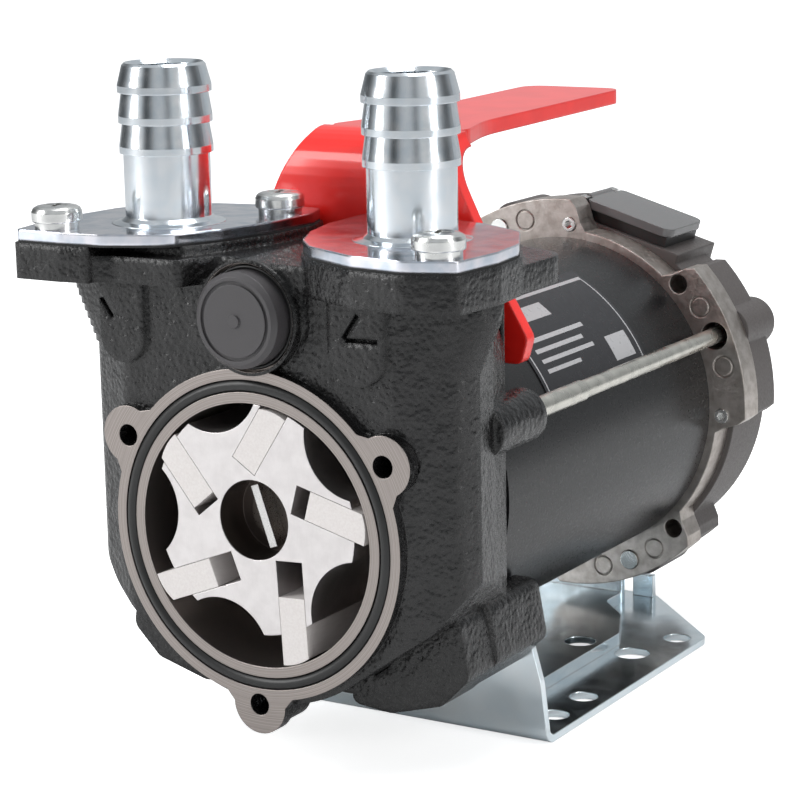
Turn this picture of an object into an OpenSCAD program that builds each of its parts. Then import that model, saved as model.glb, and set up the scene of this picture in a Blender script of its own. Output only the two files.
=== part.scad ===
// Portable fuel transfer pump with its front cover taken off, as an assembly of separate pieces.
// +X is to the right of the pump front, +Y runs back along the motor, +Z is up. Millimetres.
// The origin is the middle of the four corner holes of the base, on its underside.

/* [Layout] */
// Height of the pump chamber centre above the floor
chamber_height = 57; // [55:0.5:70]
// Distance from the machined front face back to the origin
front_reach = 100; // [95:1:110]
// Height of the rotor and motor axis above the chamber centre
axis_rise = 3.7; // [3.2:0.1:3.8]
// Running gap between pieces that move past each other
running_gap = 0.1; // [0.05:0.01:0.2]
// Radial gap of pieces pressed or glued into each other
press_gap = 0.02; // [0.01:0.01:0.05]
// Gap between fixed pieces that don't touch
fixed_gap = 0.3; // [0.2:0.05:0.5]

/* [Pump body] */
// Radius of the pump chamber bore
chamber_r = 30; // [29.5:0.1:31]
// Depth of the pump chamber
chamber_depth = 32; // [30:0.5:33]
// Outer radius of the machined ring round the chamber
ring_r = 37.6; // [37:0.1:39]
// Height of the machined ring over the rough face
ring_proud = 2.5; // [1.5:0.1:4]
// Radius of each ear on the ring
ear_r = 6.8; // [6:0.1:8]
// Radius of the circle that the ear holes lie on
ear_circle_r = 38.9; // [38:0.1:40]
// Angles of the ears
ear_angles = [30, 150, 270]; // [0:1:359]
// Radius of the tapped hole in an ear
ear_hole_r = 2.5; // [2:0.1:3]
// Depth of the tapped holes
ear_hole_depth = 12; // [8:0.5:13]
// Radius of the cover seal at its middle
seal_ring_r = 33.8; // [33:0.1:35]
// Radius of the cover seal cord
seal_cord_r = 1.4; // [1:0.05:1.6]
// Half width of the body
body_half_w = 50; // [48:0.5:52]
// How far the body's sides flare out under the port slab
flare = 6; // [4:0.5:7]
// Where the straight sides end below the chamber centre
body_side_low = 8; // [5:0.5:12]
// Radius of the body's round bottom
body_bottom_r = 39.2; // [38.5:0.1:41]
// Plane of the joint between the body and the rear casting
joint_y = 14; // [13:0.5:15]
// Thickness of the joint gasket
gasket_t = 0.8; // [0.5:0.1:1.5]
// How far the body core's sides lie inside the body's
core_inset = 8; // [7:0.5:9]
// Back face of the body core
core_back = 36; // [35.5:0.5:37]
// Radius of the vertical port bores
port_bore_r = 8; // [6:0.1:8.5]
// Distance of each port from the middle
port_x = 32.2; // [31:0.1:33]
// Distance of the ports behind the front face
port_y = 16.6; // [16:0.1:18]
// How far the port bores reach down past the chamber centre's height
port_bore_low = 6; // [4:0.5:8]
// Underside of the port slab
slab_low = 55; // [54:0.1:56]
// Top of the port slab between the blocks
slab_top = 60.9; // [60:0.1:62]
// Top of the blocks that the flange plates sit on
block_top = 63.1; // [62:0.1:64]
// Back edge of the port slab
slab_back = 47; // [46:0.5:52]
// Left end of the ledge before the left block
ledge_left = -37; // [-40:0.5:-34]
// How far back the ledge before the left block reaches
ledge_back = 2; // [1:0.5:7]
// Half width of the port slab
slab_half_w = 57.5; // [55:0.5:60]

/* [Bypass valve] */
// Height of the plug centre over the chamber centre
plug_z = 49; // [48:0.5:50]
// Radius of the plug cap
plug_r = 10.6; // [10:0.1:11]
// Radius of the machined recess round the plug
plug_recess_r = 12; // [11.6:0.1:12.5]
// Radius of the boss round the plug
plug_boss_r = 12.8; // [12.6:0.1:14]
// How far the plug cap stands in front of the face
plug_proud = 5; // [4:0.1:6]
// Radius of the valve bore
valve_bore_r = 8.5; // [8:0.1:9]
// Radius of the valve seat hole
valve_seat_r = 5; // [4:0.1:6]
// Radius of the poppet disc
poppet_r = 6.5; // [6:0.1:7.5]
// Thickness of the poppet disc
poppet_t = 1.6; // [1:0.1:2.2]

/* [Rotor and vanes] */
// Outer radius of the rotor
rotor_r = 26.2; // [25:0.1:26.2]
// Radius of the rotor's hub recess
hub_r = 9.1; // [8.5:0.1:9.6]
// Depth of the hub recess
hub_depth = 9; // [6:0.5:12]
// Direction of the first vane slot
vane_start = -87; // [-90:0.5:-84]
// Offset of a slot from the rotor axis
vane_offset = 8.5; // [8.2:0.1:8.8]
// Thickness of a vane
vane_t = 6.7; // [6:0.1:6.8]
// Width of a vane slot
slot_w = 6.9; // [6.9:0.05:7.1]
// Length of a vane
vane_len = 15.6; // [14:0.1:15.7]
// Radius of a vane's rounded tip
vane_tip_r = 12; // [11:0.5:14]
// Distance of a slot's root from the rotor axis
slot_root = 8.8; // [8.4:0.1:8.9]
// Gap between each vane's tip and the chamber wall
vane_gap = [0.2, 0.6, 0.9, 0.5, 0.2]; // [0.1:0.05:1]
// Radius of the hollows between the rotor's arms
scallop_r = 13; // [11:0.5:14]
// Distance of the hollows' centres from the rotor axis
scallop_dist = 33.5; // [33:0.5:35]
// Angle from a slot's direction to the hollow beside it
scallop_turn = 52; // [50:0.5:54]

/* [Drive shaft and bearings] */
// Radius of the drive shaft
shaft_r = 6; // [5:0.1:6.5]
// Radius of the shaft's rear journal
journal_r = 4; // [3:0.1:5]
// Width of the drive blade
blade_w = 14.5; // [13:0.1:16]
// Thickness of the drive blade
blade_t = 2; // [1.5:0.1:2.5]
// Depth of the drive blade along the shaft
blade_depth = 12; // [10:0.5:14]
// How far the drive blade lies behind the rotor face
blade_y = 4; // [2:0.5:6]
// Outer radius of the front bearing
front_bearing_r = 14; // [13:0.5:15]
// Width of the front bearing
front_bearing_w = 8; // [7:0.5:9]
// Front face of the front bearing
front_bearing_y = 43.7; // [43:0.1:45]
// Outer radius of the rear bearing
rear_bearing_r = 11; // [10:0.5:12]
// Width of the rear bearing
rear_bearing_w = 7; // [6:0.5:7]
// Number of balls in each bearing
ball_count = 8; // [7:1:8]

/* [Rear casting] */
// Back face of the rear casting
casting_back = 39.5; // [39:0.5:41]
// Wall of the rear casting's disc
casting_wall = 3; // [2.5:0.1:3]
// How far the rear casting's sides lie inside the body's
casting_inset = 1; // [0.5:0.5:2]
// Top of the rear casting over the chamber centre
casting_top = 50; // [49:0.5:51]
// Radius of the bosses that the tie rods screw into
rod_boss_r = 6.2; // [5.5:0.1:7.5]
// Back end of the tie rod bosses
rod_boss_back = 44; // [43.5:0.5:50]
// Outer side of a foot
foot_out = 45.6; // [45:0.1:46.5]
// Underside of a foot below the chamber centre
foot_low = 41.4; // [40:0.1:42]
// Back face of the feet, where the base bracket bolts on
foot_back = 50; // [49:0.5:50.5]

/* [Motor] */
// Outer radius of the motor casing
motor_r = 42.4; // [42:0.1:43]
// Wall of the motor casing
motor_wall = 2; // [1.5:0.1:2.5]
// Back end of the motor casing
motor_back = 147; // [145:1:150]
// Radius of the armature
armature_r = 32.5; // [30:0.5:33]
// Front end of the armature core
armature_front = 66; // [64:1:70]
// Length of the armature core
armature_len = 48; // [40:1:50]
// Radius of the commutator
commutator_r = 12; // [11:0.5:13]
// Length of the commutator
commutator_len = 12; // [10:0.5:12]

/* [Rear flange] */
// Thickness of the rear flange
flange_t = 8; // [7:0.5:10]
// Outer radius of the flange lobes
lobe_r = 52.5; // [51:0.5:54]
// Outer radius of the flange between the lobes
waist_r = 44.5; // [43.5:0.1:45]
// Angle of the tie rods about the motor axis
rod_angle = 24; // [23:0.5:25]
// Radius of the circle that the tie rods lie on
rod_circle_r = 47.7; // [47.5:0.1:48.2]
// Radius of a tie rod's shank
rod_r = 2.15; // [2:0.05:2.4]
// Radius of a tie rod's thread
rod_thread_r = 2.5; // [2.4:0.05:2.6]
// Length of the tie rod's visible thread
rod_thread_len = 28; // [20:1:40]
// Radius of the tie rod holes
rod_hole_r = 3.6; // [3.2:0.1:4.2]

/* [Rear cover and switch] */
// Length of the rear cover behind the flange
cover_len = 27; // [25:0.5:30]
// Radius of the rear cover's rim
cover_r = 46; // [45:0.5:47]
// Wall of the rear cover
cover_wall = 2.5; // [2:0.1:3]
// Tilt of the switch about the motor axis
switch_tilt = 16; // [14:0.5:18]
// Width of the switch flap
flap_w = 23.5; // [22:0.5:26]
// Depth of the switch flap
flap_d = 19; // [17:0.5:20]
// Distance of the flap from the motor axis
flap_h = 50.2; // [49.5:0.1:51]
// Thickness of the clear flap
flap_t = 2.2; // [1.5:0.1:3]
// Swing of the rocker button each way
rocker_swing = 12; // [8:1:14]

/* [Hose tails] */
// Radius of a hose tail's ribs
rib_r = 10.6; // [10:0.1:11]
// Radius of a hose tail's plain neck
tail_r = 9.8; // [9.4:0.1:10]
// Radius of a hose tail's rim
rim_r = 9.45; // [9:0.05:9.6]
// Radius of a hose tail's bore
tail_bore_r = 7.8; // [6:0.1:8.2]
// Distance from one rib to the next
rib_pitch = 6.8; // [6:0.1:7.5]
// Straight part of a rib
rib_land = 1.6; // [1:0.1:2]
// Top of the hose tails over the chamber centre
tail_top = 102.2; // [95:0.5:110]
// Thickness of a flange plate
plate_t = 2.4; // [1.8:0.1:3]
// Thickness of a port gasket
port_gasket_t = 0.5; // [0.3:0.1:0.8]

/* [Port screws] */
// Radius of a pan head
pan_r = 5.7; // [5:0.1:6.5]
// Height of a pan head
pan_h = 3.6; // [3:0.1:5]
// Radius of a port screw's thread
port_screw_r = 3; // [2.5:0.1:3.2]
// Thickness of a spring washer
washer_t = 1.6; // [1:0.1:2]

/* [Carry handle] */
// Thickness of the handle
handle_t = 3.5; // [3:0.1:4]
// Front face of the handle's plate
handle_y = 50; // [49.8:0.1:51]
// Half width of the blade
blade_half_w = 14; // [12:0.5:15]
// Top of the blade at its front over the chamber centre
blade_top = 83.6; // [80:0.1:95]
// Rise of the blade from front to back
blade_rise = 1.5; // [0:0.1:3]
// Back end of the blade
blade_end = 154; // [140:1:155]
// Radius of the bend between the plate and the blade
bend_r = 9; // [8:0.5:10]

/* [Base bracket] */
// Thickness of the bracket sheet
sheet_t = 1.8; // [1.5:0.1:2.5]
// Half width of the bracket
base_half_w = 45.8; // [45:0.5:48]
// Back end of the bracket
base_back = 167; // [160:1:170]
// Height of the raised platform over the floor
platform_rise = 5; // [4:0.1:6]
// Spacing of the corner holes across the base
corner_hole_x = 79; // [76:0.5:80]
// Spacing of the corner holes along the base
corner_hole_y = 68; // [64:0.5:70]
// Radius of the corner holes
corner_hole_r = 3.5; // [2.5:0.1:4]

/* [Hidden] */
$fn = 72;

// One overrun for every cut
over = 1;
// Snug clearance of a piece that is pushed in by hand
snug_gap = 0.05;
vane_count = len(vane_gap);
vane_pitch = 360 / vane_count;
// The body's sides end inside the slab, and the bracket's front wall stands on the feet
body_top = slab_low + over / 2;
wall_front = foot_back;

// Places of the screws and outlines of the flange plates, about each port
outlet_places_share = [[0.64, -0.69], [-0.62, 0.72]];
inlet_places_share = [[-0.62, -0.69], [0.61, 0.73]];
// Half of a flange plate's usual width, which scales the outlines
plate_half_w = 27.5;
outlet_outline_share = [[0.9, -0.85, 0.05], [0.5, -1, 0.3], [0, -0.94, 0.3], [-0.55, -0.67, 0.2], [-0.77,
    -0.42, 0.1],
    [-0.97, -0.01, 0.2], [-1.08, 0.44, 0.2], [-1.1, 1, 0.15], [-1, 1.17, 0.08], [-0.6, 1.16, 0.2],
    [0.12, 0.95, 0.2], [0.6, 0.68, 0.2], [0.9, 0.12, 0.3], [0.95, -0.3, 0.3]];
inlet_outline_share = [[-0.9, -0.92, 0.05], [-0.45, -0.92, 0.3], [-0.06, -0.87, 0.3], [0.45, -0.65, 0.3],
    [0.68, -0.2, 0.3], [0.82, 0.33, 0.3], [0.86, 0.9, 0.15], [0.76, 1.17, 0.08], [0.3, 1.19, 0.2],
    [-0.3, 1.06, 0.2], [-0.9, 0.5, 0.2], [-1, -0.3, 0.2]];

// Ends of a length of arc, and outlines with rounded corners
function unit(v) = v / norm(v);
function turned(a, b) = let(d = b - a) d > 180 ? d - 360 : d < -180 ? d + 360 : d;
function rounded_corner(a, b, c, r, steps) =
    let(u = unit(a - b), v = unit(c - b), half = acos(u * v) / 2, middle = b + unit(u + v) * r / sin(half),
        p = b + u * r / tan(half) - middle, q = b + v * r / tan(half) - middle,
        start = atan2(p[1], p[0]), turn = turned(start, atan2(q[1], q[0])))
    [for (i = [0 : steps]) middle + r * [cos(start + turn * i / steps), sin(start + turn * i / steps)]];
function flat(p) = [p[0], p[1]];
function outline(pts, steps = 5) = let(n = len(pts)) [for (i = [0 : n - 1])
    each (pts[i][2] > 0
        ? rounded_corner(flat(pts[(i + n - 1) % n]), flat(pts[i]), flat(pts[(i + 1) % n]), pts[i][2], steps)
        : [flat(pts[i])])];
function scaled(shares, size) = [for (s = shares) s * size];
function arc_points(r, from, to, steps) =
    [for (i = [0 : steps]) r * [cos(from + (to - from) * i / steps), sin(from + (to - from) * i / steps)]];

// The frame of the pump front: the chamber centre on the machined face
module at_front() translate([0, -front_reach, chamber_height]) children();
// The same, on the motor axis
module at_motor() at_front() translate([0, 0, axis_rise]) children();
// Steps up along Z, and turns about Y
module lift(z) translate([0, 0, z]) children();
module turn_y(a) rotate([0, a, 0]) children();
// A flat outline in X and Z stretched along Y
module span_y(from, to) translate([0, to, 0]) rotate([90, 0, 0]) linear_extrude(to - from) children();
// A round bar along Y
module bar_y(x, z, from, to, r) translate([x, to, z]) rotate([90, 0, 0]) cylinder(h = to - from, r = r);
// The same on the axis
module disc_y(from, to, r) bar_y(0, 0, from, to, r);
// A round bar along Z
module bar_z(x, y, from, to, r) translate([x, y, from]) cylinder(h = to - from, r = r);
// A turned shape about Y from an outline of radius and distance
module turned_y() rotate([-90, 0, 0]) rotate_extrude() children();
// A block between two corners
module block(low, high) translate(low) cube(high - low);

// Outline of the body from the front: straight sides drawn in to a round bottom
core_half_w = body_half_w - core_inset;
casting_half_w = body_half_w - casting_inset;
body_corner_r = 16;
body_knee_x = 0.86 * body_half_w;
body_knee_z = 17.5;
module body_outline(half_w, grow = 0) {
    low_r = body_bottom_r + grow;
    tangent = [low_r * cos(-56), low_r * sin(-56)];
    polygon(outline([[-half_w - flare, body_top, 0], [-half_w - 0.85 * flare, body_top - 0.95 * flare,
        flare / 2],
        [-half_w, body_top - 2.8 * flare, flare], [-half_w, -body_side_low, body_corner_r / 2],
        [-body_knee_x - grow, -body_knee_z - grow / 2, body_corner_r], [-tangent[0], tangent[1], 0],
        [tangent[0], tangent[1], 0], [body_knee_x + grow, -body_knee_z - grow / 2, body_corner_r],
        [half_w, -body_side_low, body_corner_r / 2], [half_w, body_top - 2.8 * flare, flare],
        [half_w + 0.85 * flare, body_top - 0.95 * flare, flare / 2], [half_w + flare, body_top, 0]]));
    circle(r = low_r);
}

// Outline of the body from above, with its round upright edges
front_flat_x = 36;
front_round = 9;
side_round = 6;
side_draft = 2;
module body_plan(half_w = body_half_w) polygon(outline([[-front_flat_x, ring_proud, front_round],
    [front_flat_x, ring_proud, front_round],
    [half_w - side_draft, joint_y - side_round, side_round], [half_w, joint_y + over, 0],
    [-half_w, joint_y + over, 0], [side_draft - half_w, joint_y - side_round, side_round]]));
// The flared top is cut from these outlines, each a little wider than the one below
flare_h = 2.8 * flare;
flare_steps = 10;
flare_lead = 1.3;

module ring_and_ears(from, to, grow = 0) {
    disc_y(from, to, ring_r + grow);
    for (a = ear_angles) {
        bar_y(ear_circle_r * cos(a), ear_circle_r * sin(a), from, to, ear_r + grow);
        // Webs that draw each ear into the ring
        turn_y(-a) span_y(from, to)
            polygon([[ring_r - ear_r, -2 * ear_r - grow], [ear_circle_r, -ear_r - grow],
                [ear_circle_r, ear_r + grow], [ring_r - ear_r, 2 * ear_r + grow]]);
    }
}

// Shares of the slab's outline: across by its half width, along by its back edge
slab_share = [[-1, -0.17, 0.04], [-0.66, -0.14, 0.04], [-0.58, -0.085, 0.04], [-0.27, -0.075, 0.04],
    [-0.21, 0.12, 0.06], [0.05, 0.12, 0.06], [0.1, 0.022, 0.04], [0.45, 0.022, 0.06], [0.6, -0.1, 0.04],
    [0.98, -0.1, 0.04], [0.98, 0.87, 0.17], [0.7, 1, 0.17], [-0.7, 1, 0.17], [-1, 0.87, 0.17]];
module slab_outline() polygon(outline([for (s = slab_share)
    [s[0] * slab_half_w, s[1] * slab_back, s[2] * slab_back]]));

// Share of a block's outline that its gasket and plate cover
seat_share = 0.98;
module plate_outline(shares, grow = 1) polygon(outline(scaled(shares, plate_half_w * grow)));

module outlet_place() translate([port_x, port_y, 0]) children();
module inlet_place() translate([-port_x, port_y, 0]) children();

// Places of the columns and slits on the body's face, as shares of its half width
column_share = [[-0.704, 0.836, 0.12], [0.536, 0.856, 0.142]];
slit_share = [[[-0.848, 1.056], [-0.754, 0.92]], [[0.472, 0.922], [0.546, 1.03]], [[0.48, 0.916],
    [0.644, 0.92]]];
column_proud = 1.2;
slit_w = 1.1;
ear_inset = 4;
low_ear_inset = 2;
low_ear_step = 0.8;
core_low_inset = 2;
neck_gap = 0.5;
neck_inset = 8;
boss_proud = 0.5;
recess_depth = 2;
seat_y = 14;
valve_block_len = 12;
seat_depth = 8;
link_back = 5;
link_r = 3.5;
relief_front = 4;
relief_r = 3;
port_hole_depth = 7;
port_screw_depth = 6;
module pump_body() color([0.16, 0.155, 0.155]) at_front() difference() {
    union() {
        // Front shell
        intersection() {
            span_y(ring_proud, joint_y) body_outline(body_half_w);
            union() {
                lift(-2 * ring_r) linear_extrude(4 * ring_r) body_plan();
                for (k = [0 : flare_steps - 1]) lift(body_top - flare_h * (1 - k / flare_steps))
                    linear_extrude(flare_h * (1 - k / flare_steps) + over)
                        body_plan(body_half_w + flare * min(1, flare_lead * (k + 1) / flare_steps));
            }
        }
        ring_and_ears(0, ring_proud + over);
        ring_and_ears(ring_proud, joint_y - ear_inset, -0.6 * ring_proud);
        // Core inside the rear casting
        intersection() {
            span_y(joint_y - over, core_back) body_outline(core_half_w, -core_low_inset);
            block([-core_half_w, 0, -ring_r], [core_half_w, core_back, casting_top - casting_wall]);
        }
        // Neck, slab and blocks that carry the ports
        block([-core_half_w, joint_y - over, 0], [core_half_w, joint_y + over, slab_low + over]);
        lift(slab_low) linear_extrude(slab_top - slab_low) slab_outline();
        block([-core_half_w, joint_y - over, casting_top + neck_gap],
            [core_half_w, slab_back - neck_inset, slab_low + over]);
        lift(slab_low) linear_extrude(block_top - slab_low) {
            outlet_place() plate_outline(outlet_outline_share);
            // The left block is cut back under its plate, over the ledge
            difference() {
                inlet_place() plate_outline(inlet_outline_share);
                translate([ledge_left, -slab_back]) square([slab_half_w, slab_back + ledge_back]);
            }
        }
        // Boss of the bypass valve and its core
        bar_y(0, plug_z, -boss_proud, seat_y + valve_block_len, plug_boss_r);
        // Columns that hang from the slab either side, round at their foot
        for (b = body_half_w * column_share) {
            bar_y(b[0], b[1], ring_proud - column_proud, joint_y, b[2]);
            block([b[0] - b[2], ring_proud - column_proud, b[1]], [b[0] + b[2], joint_y, slab_low + over]);
        }
        // Lower back of the bottom ear
        bar_y(0, -ear_circle_r, ring_proud, joint_y - low_ear_inset, ear_r - low_ear_step);
    }
    // Chamber
    disc_y(-over, chamber_depth, chamber_r);
    // Seal groove
    difference() {
        disc_y(-over, 1.65 * seal_cord_r, seal_ring_r + seal_cord_r);
        disc_y(-2 * over, 2 * seal_cord_r, seal_ring_r - seal_cord_r);
    }
    for (a = ear_angles)
        bar_y(ear_circle_r * cos(a), ear_circle_r * sin(a), -over, ear_hole_depth, ear_hole_r);
    // Shaft hole
    bar_y(0, axis_rise, chamber_depth - over, core_back + over, shaft_r + fixed_gap);
    // Ports
    for (s = [-1, 1]) bar_z(s * port_x, port_y, port_bore_low, block_top + over, port_bore_r);
    // Slits in the face
    for (g = body_half_w * slit_share) let(run = flat(g[1]) - flat(g[0]), middle = (g[0] + g[1]) / 2)
        translate([middle[0], ring_proud - column_proud, middle[1]]) rotate([0, -atan2(run[1], run[0]), 0])
            cube([norm(run), 2 * slit_w + 2 * column_proud, slit_w], center = true);
    // Valve bore, seat and links
    bar_y(0, plug_z, -2 * over, recess_depth, plug_recess_r);
    bar_y(0, plug_z, 0, seat_y, valve_bore_r);
    bar_y(0, plug_z, seat_y - over, seat_y + seat_depth, valve_seat_r);
    translate([0, seat_y + link_back, plug_z]) turn_y(90) cylinder(h = port_x, r = link_r);
    translate([-port_x, seat_y - relief_front, plug_z]) turn_y(90)
        cylinder(h = port_x, r = relief_r);
    outlet_screws(block_top - port_hole_depth, block_top + over, port_screw_r);
    inlet_screws(block_top - port_hole_depth, block_top + over, port_screw_r);
}

module outlet_screws(from, to, r) for (s = outlet_places_share)
    bar_z(port_x + s[0] * plate_half_w, port_y + s[1] * plate_half_w, from, to, r);
module inlet_screws(from, to, r) for (s = inlet_places_share)
    bar_z(-port_x + s[0] * plate_half_w, port_y + s[1] * plate_half_w, from, to, r);

seal_proud = 0.5;
module front_seal_ring() color([0.08, 0.08, 0.08]) at_front()
    translate([0, seal_cord_r - seal_proud, 0]) rotate([90, 0, 0]) rotate_extrude()
        translate([seal_ring_r, 0]) circle(r = seal_cord_r - snug_gap, $fn = 24);

// A vane's place about the motor axis, with its own Z pointing out along the slot
module vane_frame(i) turn_y(90 - (vane_start + i * vane_pitch)) children();

rotor_depth = chamber_depth - running_gap;
blade_angle = -19;
punch_angle = 30;
punch_dist = 17;
punch_depth = 0.6;
punch_r = 1.5;
module rotor() color([0.78, 0.77, 0.75]) at_motor() difference() {
    disc_y(0, rotor_depth, rotor_r);
    for (i = [0 : vane_count - 1]) vane_frame(i) {
        // Slot, offset from the axis
        translate([-vane_offset - slot_w / 2, -over, slot_root]) cube([slot_w, rotor_depth + 2 * over,
            rotor_r]);
        // Hollow between two arms
        turn_y(-scallop_turn) bar_y(0, scallop_dist, -over, rotor_depth + over, scallop_r);
    }
    disc_y(-over, hub_depth, hub_r);
    disc_y(hub_depth - over, rotor_depth + over, shaft_r + press_gap);
    // Slot for the drive blade
    turn_y(blade_angle) block([-blade_t / 2 - snug_gap, -over, -blade_w / 2 - snug_gap],
        [blade_t / 2 + snug_gap, blade_y + blade_depth, blade_w / 2 + snug_gap]);
    // Punch mark
    turn_y(punch_angle) bar_y(0, -punch_dist, -over, punch_depth, punch_r);
}

// Distance of the tip's round centre from the slot's middle, so that the tip leans with the wall
tip_lean_share = 0.28;
tip_side = vane_offset - tip_lean_share * vane_tip_r;
// How far a vane at an angle can reach out from the rotor axis before it meets the wall
function wall_reach(a) = vane_tip_r - axis_rise * sin(a)
    + sqrt(pow(chamber_r - vane_tip_r, 2) - pow(axis_rise * cos(a) + tip_side, 2));
function vane_reach(i) = wall_reach(vane_start + i * vane_pitch) - vane_gap[i];
module vane(i) color([0.93, 0.92, 0.87]) at_motor() vane_frame(i) intersection() {
    translate([-vane_offset - vane_t / 2, 0, vane_reach(i) - vane_len]) cube([vane_t, rotor_depth, vane_len]);
    bar_y(-tip_side, vane_reach(i) - vane_tip_r, -over, rotor_depth + over, vane_tip_r);
}

module drive_blade() color([0.8, 0.8, 0.82]) at_motor() turn_y(blade_angle)
    block([-blade_t / 2, blade_y, -blade_w / 2], [blade_t / 2, blade_y + blade_depth - running_gap,
        blade_w / 2]);

shaft_proud = 1;
shaft_front = hub_depth - shaft_proud;
bearing_set = 0.4;
journal_step = 2;
rear_bearing_y = motor_back + bearing_set;
shaft_end = motor_back + flange_t - bearing_set;
module drive_shaft() color([0.75, 0.75, 0.77]) at_motor() difference() {
    union() {
        disc_y(shaft_front, rear_bearing_y - journal_step, shaft_r);
        disc_y(rear_bearing_y - journal_step - over, shaft_end, journal_r);
    }
    turn_y(blade_angle) block([-blade_t / 2, -over, -blade_w / 2], [blade_t / 2,
        blade_y + blade_depth, blade_w / 2]);
}

seal_set = 0.5;
seal_y = core_back + seal_set;
seal_len = 6;
seal_inset = 1;
seal_wall = 1.5;
seal_hollow = 4;
module shaft_seal() color([0.12, 0.1, 0.09]) at_motor() difference() {
    disc_y(seal_y, seal_y + seal_len, front_bearing_r - seal_inset);
    disc_y(seal_y - over, seal_y + seal_len + over, shaft_r + running_gap);
    disc_y(seal_y + seal_wall, seal_y + seal_len + over, shaft_r + seal_hollow);
}

race_t = 2;
front_bearing_back = front_bearing_y + front_bearing_w;
module race(y, w, from, to) difference() {
    disc_y(y, y + w, to);
    disc_y(y - over, y + w + over, from);
}
module balls(y, w, in_r, out_r) for (i = [0 : ball_count - 1])
    turn_y(i * 360 / ball_count) translate([(in_r + out_r) / 2, y + w / 2, 0])
        sphere(r = (out_r - in_r) / 2 - running_gap, $fn = 32);
module front_bearing_outer() color([0.7, 0.7, 0.72]) at_motor()
    race(front_bearing_y, front_bearing_w, front_bearing_r - race_t, front_bearing_r);
module front_bearing_inner() color([0.72, 0.72, 0.74]) at_motor()
    race(front_bearing_y, front_bearing_w, shaft_r, shaft_r + race_t);
module front_bearing_balls() color([0.85, 0.85, 0.86]) at_motor()
    balls(front_bearing_y, front_bearing_w, shaft_r + race_t, front_bearing_r - race_t);
module rear_bearing_outer() color([0.7, 0.7, 0.72]) at_motor()
    race(rear_bearing_y, rear_bearing_w, rear_bearing_r - race_t, rear_bearing_r);
module rear_bearing_inner() color([0.72, 0.72, 0.74]) at_motor()
    race(rear_bearing_y, rear_bearing_w, journal_r, journal_r + race_t);
module rear_bearing_balls() color([0.85, 0.85, 0.86]) at_motor()
    balls(rear_bearing_y, rear_bearing_w, journal_r + race_t, rear_bearing_r - race_t);

plug_back = 3.6;
plug_edge = 1;
pip_r = 1.4;
pip_proud = 0.4;
rim_groove_r = plug_r - 1.8;
rim_groove_w = 0.8;
rim_groove_depth = 0.5;
spring_seat_r = 3.2;
spring_seat_depth = 2;
module bypass_plug() color([0.2, 0.2, 0.21]) at_front() lift(plug_z) difference() {
    union() {
        turned_y() polygon([[0, -plug_proud], [plug_r - plug_edge, -plug_proud], [plug_r,
            plug_edge - plug_proud],
            [plug_r, recess_depth], [valve_bore_r - snug_gap, recess_depth],
            [valve_bore_r - snug_gap, plug_back], [0, plug_back]]);
        // Raised rim and middle pip
        disc_y(-plug_proud - pip_proud, 0, pip_r);
    }
    difference() {
        disc_y(-plug_proud - over, rim_groove_depth - plug_proud, rim_groove_r);
        disc_y(-plug_proud - 2 * over, over - plug_proud, rim_groove_r - rim_groove_w);
    }
    disc_y(plug_back - spring_seat_depth, plug_back + over, spring_seat_r);
}

plug_seal_wire_r = 0.45;
plug_seal_y = 0.75;
module bypass_plug_seal() color([0.08, 0.08, 0.08]) at_front() translate([0, plug_seal_y, plug_z])
    rotate([90, 0, 0]) rotate_extrude() translate([plug_r + plug_seal_wire_r + snug_gap, 0])
        circle(r = plug_seal_wire_r, $fn = 16);

poppet_stem_len = 3;
poppet_stem_r = 2;
module bypass_poppet() color([0.8, 0.79, 0.76]) at_front() lift(plug_z) {
    disc_y(seat_y - poppet_t, seat_y, poppet_r);
    disc_y(seat_y - poppet_t - poppet_stem_len, seat_y, poppet_stem_r);
}

spring_front = plug_back + running_gap;
spring_back = seat_y - poppet_t - snug_gap;
spring_wire_r = 0.45;
spring_coil_r = 4.4;
spring_turns = 5;
spring_steps = 8 * spring_turns;
spring_sides = 6;
// One ring of the wire at a step along the coil
function wire_ring(i) = let(a = 360 * spring_turns * i / spring_steps,
    y = spring_front + spring_wire_r + (spring_back - spring_front - 2 * spring_wire_r) * i / spring_steps)
    [for (k = [0 : spring_sides - 1]) let(b = 360 * k / spring_sides,
        r = spring_coil_r + spring_wire_r * cos(b))
        [r * cos(a), y + spring_wire_r * sin(b), r * sin(a)]];
module bypass_spring() color([0.7, 0.7, 0.72]) at_front() lift(plug_z) polyhedron(
    points = [for (i = [0 : spring_steps]) each wire_ring(i)],
    faces = concat([[for (k = [0 : spring_sides - 1]) k]],
        [[for (k = [spring_sides - 1 : -1 : 0]) spring_steps * spring_sides + k]],
        [for (i = [0 : spring_steps - 1], k = [0 : spring_sides - 1]) each let(m = (k + 1) % spring_sides,
            a = i * spring_sides, b = a + spring_sides) [[a + m, a + k, b + k], [a + m, b + k, b + m]]]));

casting_front = joint_y + gasket_t;
module body_gasket() color([0.06, 0.06, 0.06]) at_front() difference() {
    intersection() {
        span_y(joint_y, casting_front) body_outline(casting_half_w - gasket_t);
        block([gasket_t - casting_half_w, 0, -2 * ring_r], [casting_half_w - gasket_t, slab_back,
            casting_top - core_low_inset]);
    }
    intersection() {
        span_y(joint_y - over, casting_front + over) body_outline(core_half_w + fixed_gap,
            fixed_gap - core_low_inset);
        block([-body_half_w, 0, -2 * ring_r], [body_half_w, slab_back, casting_top + over]);
    }
}

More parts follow.
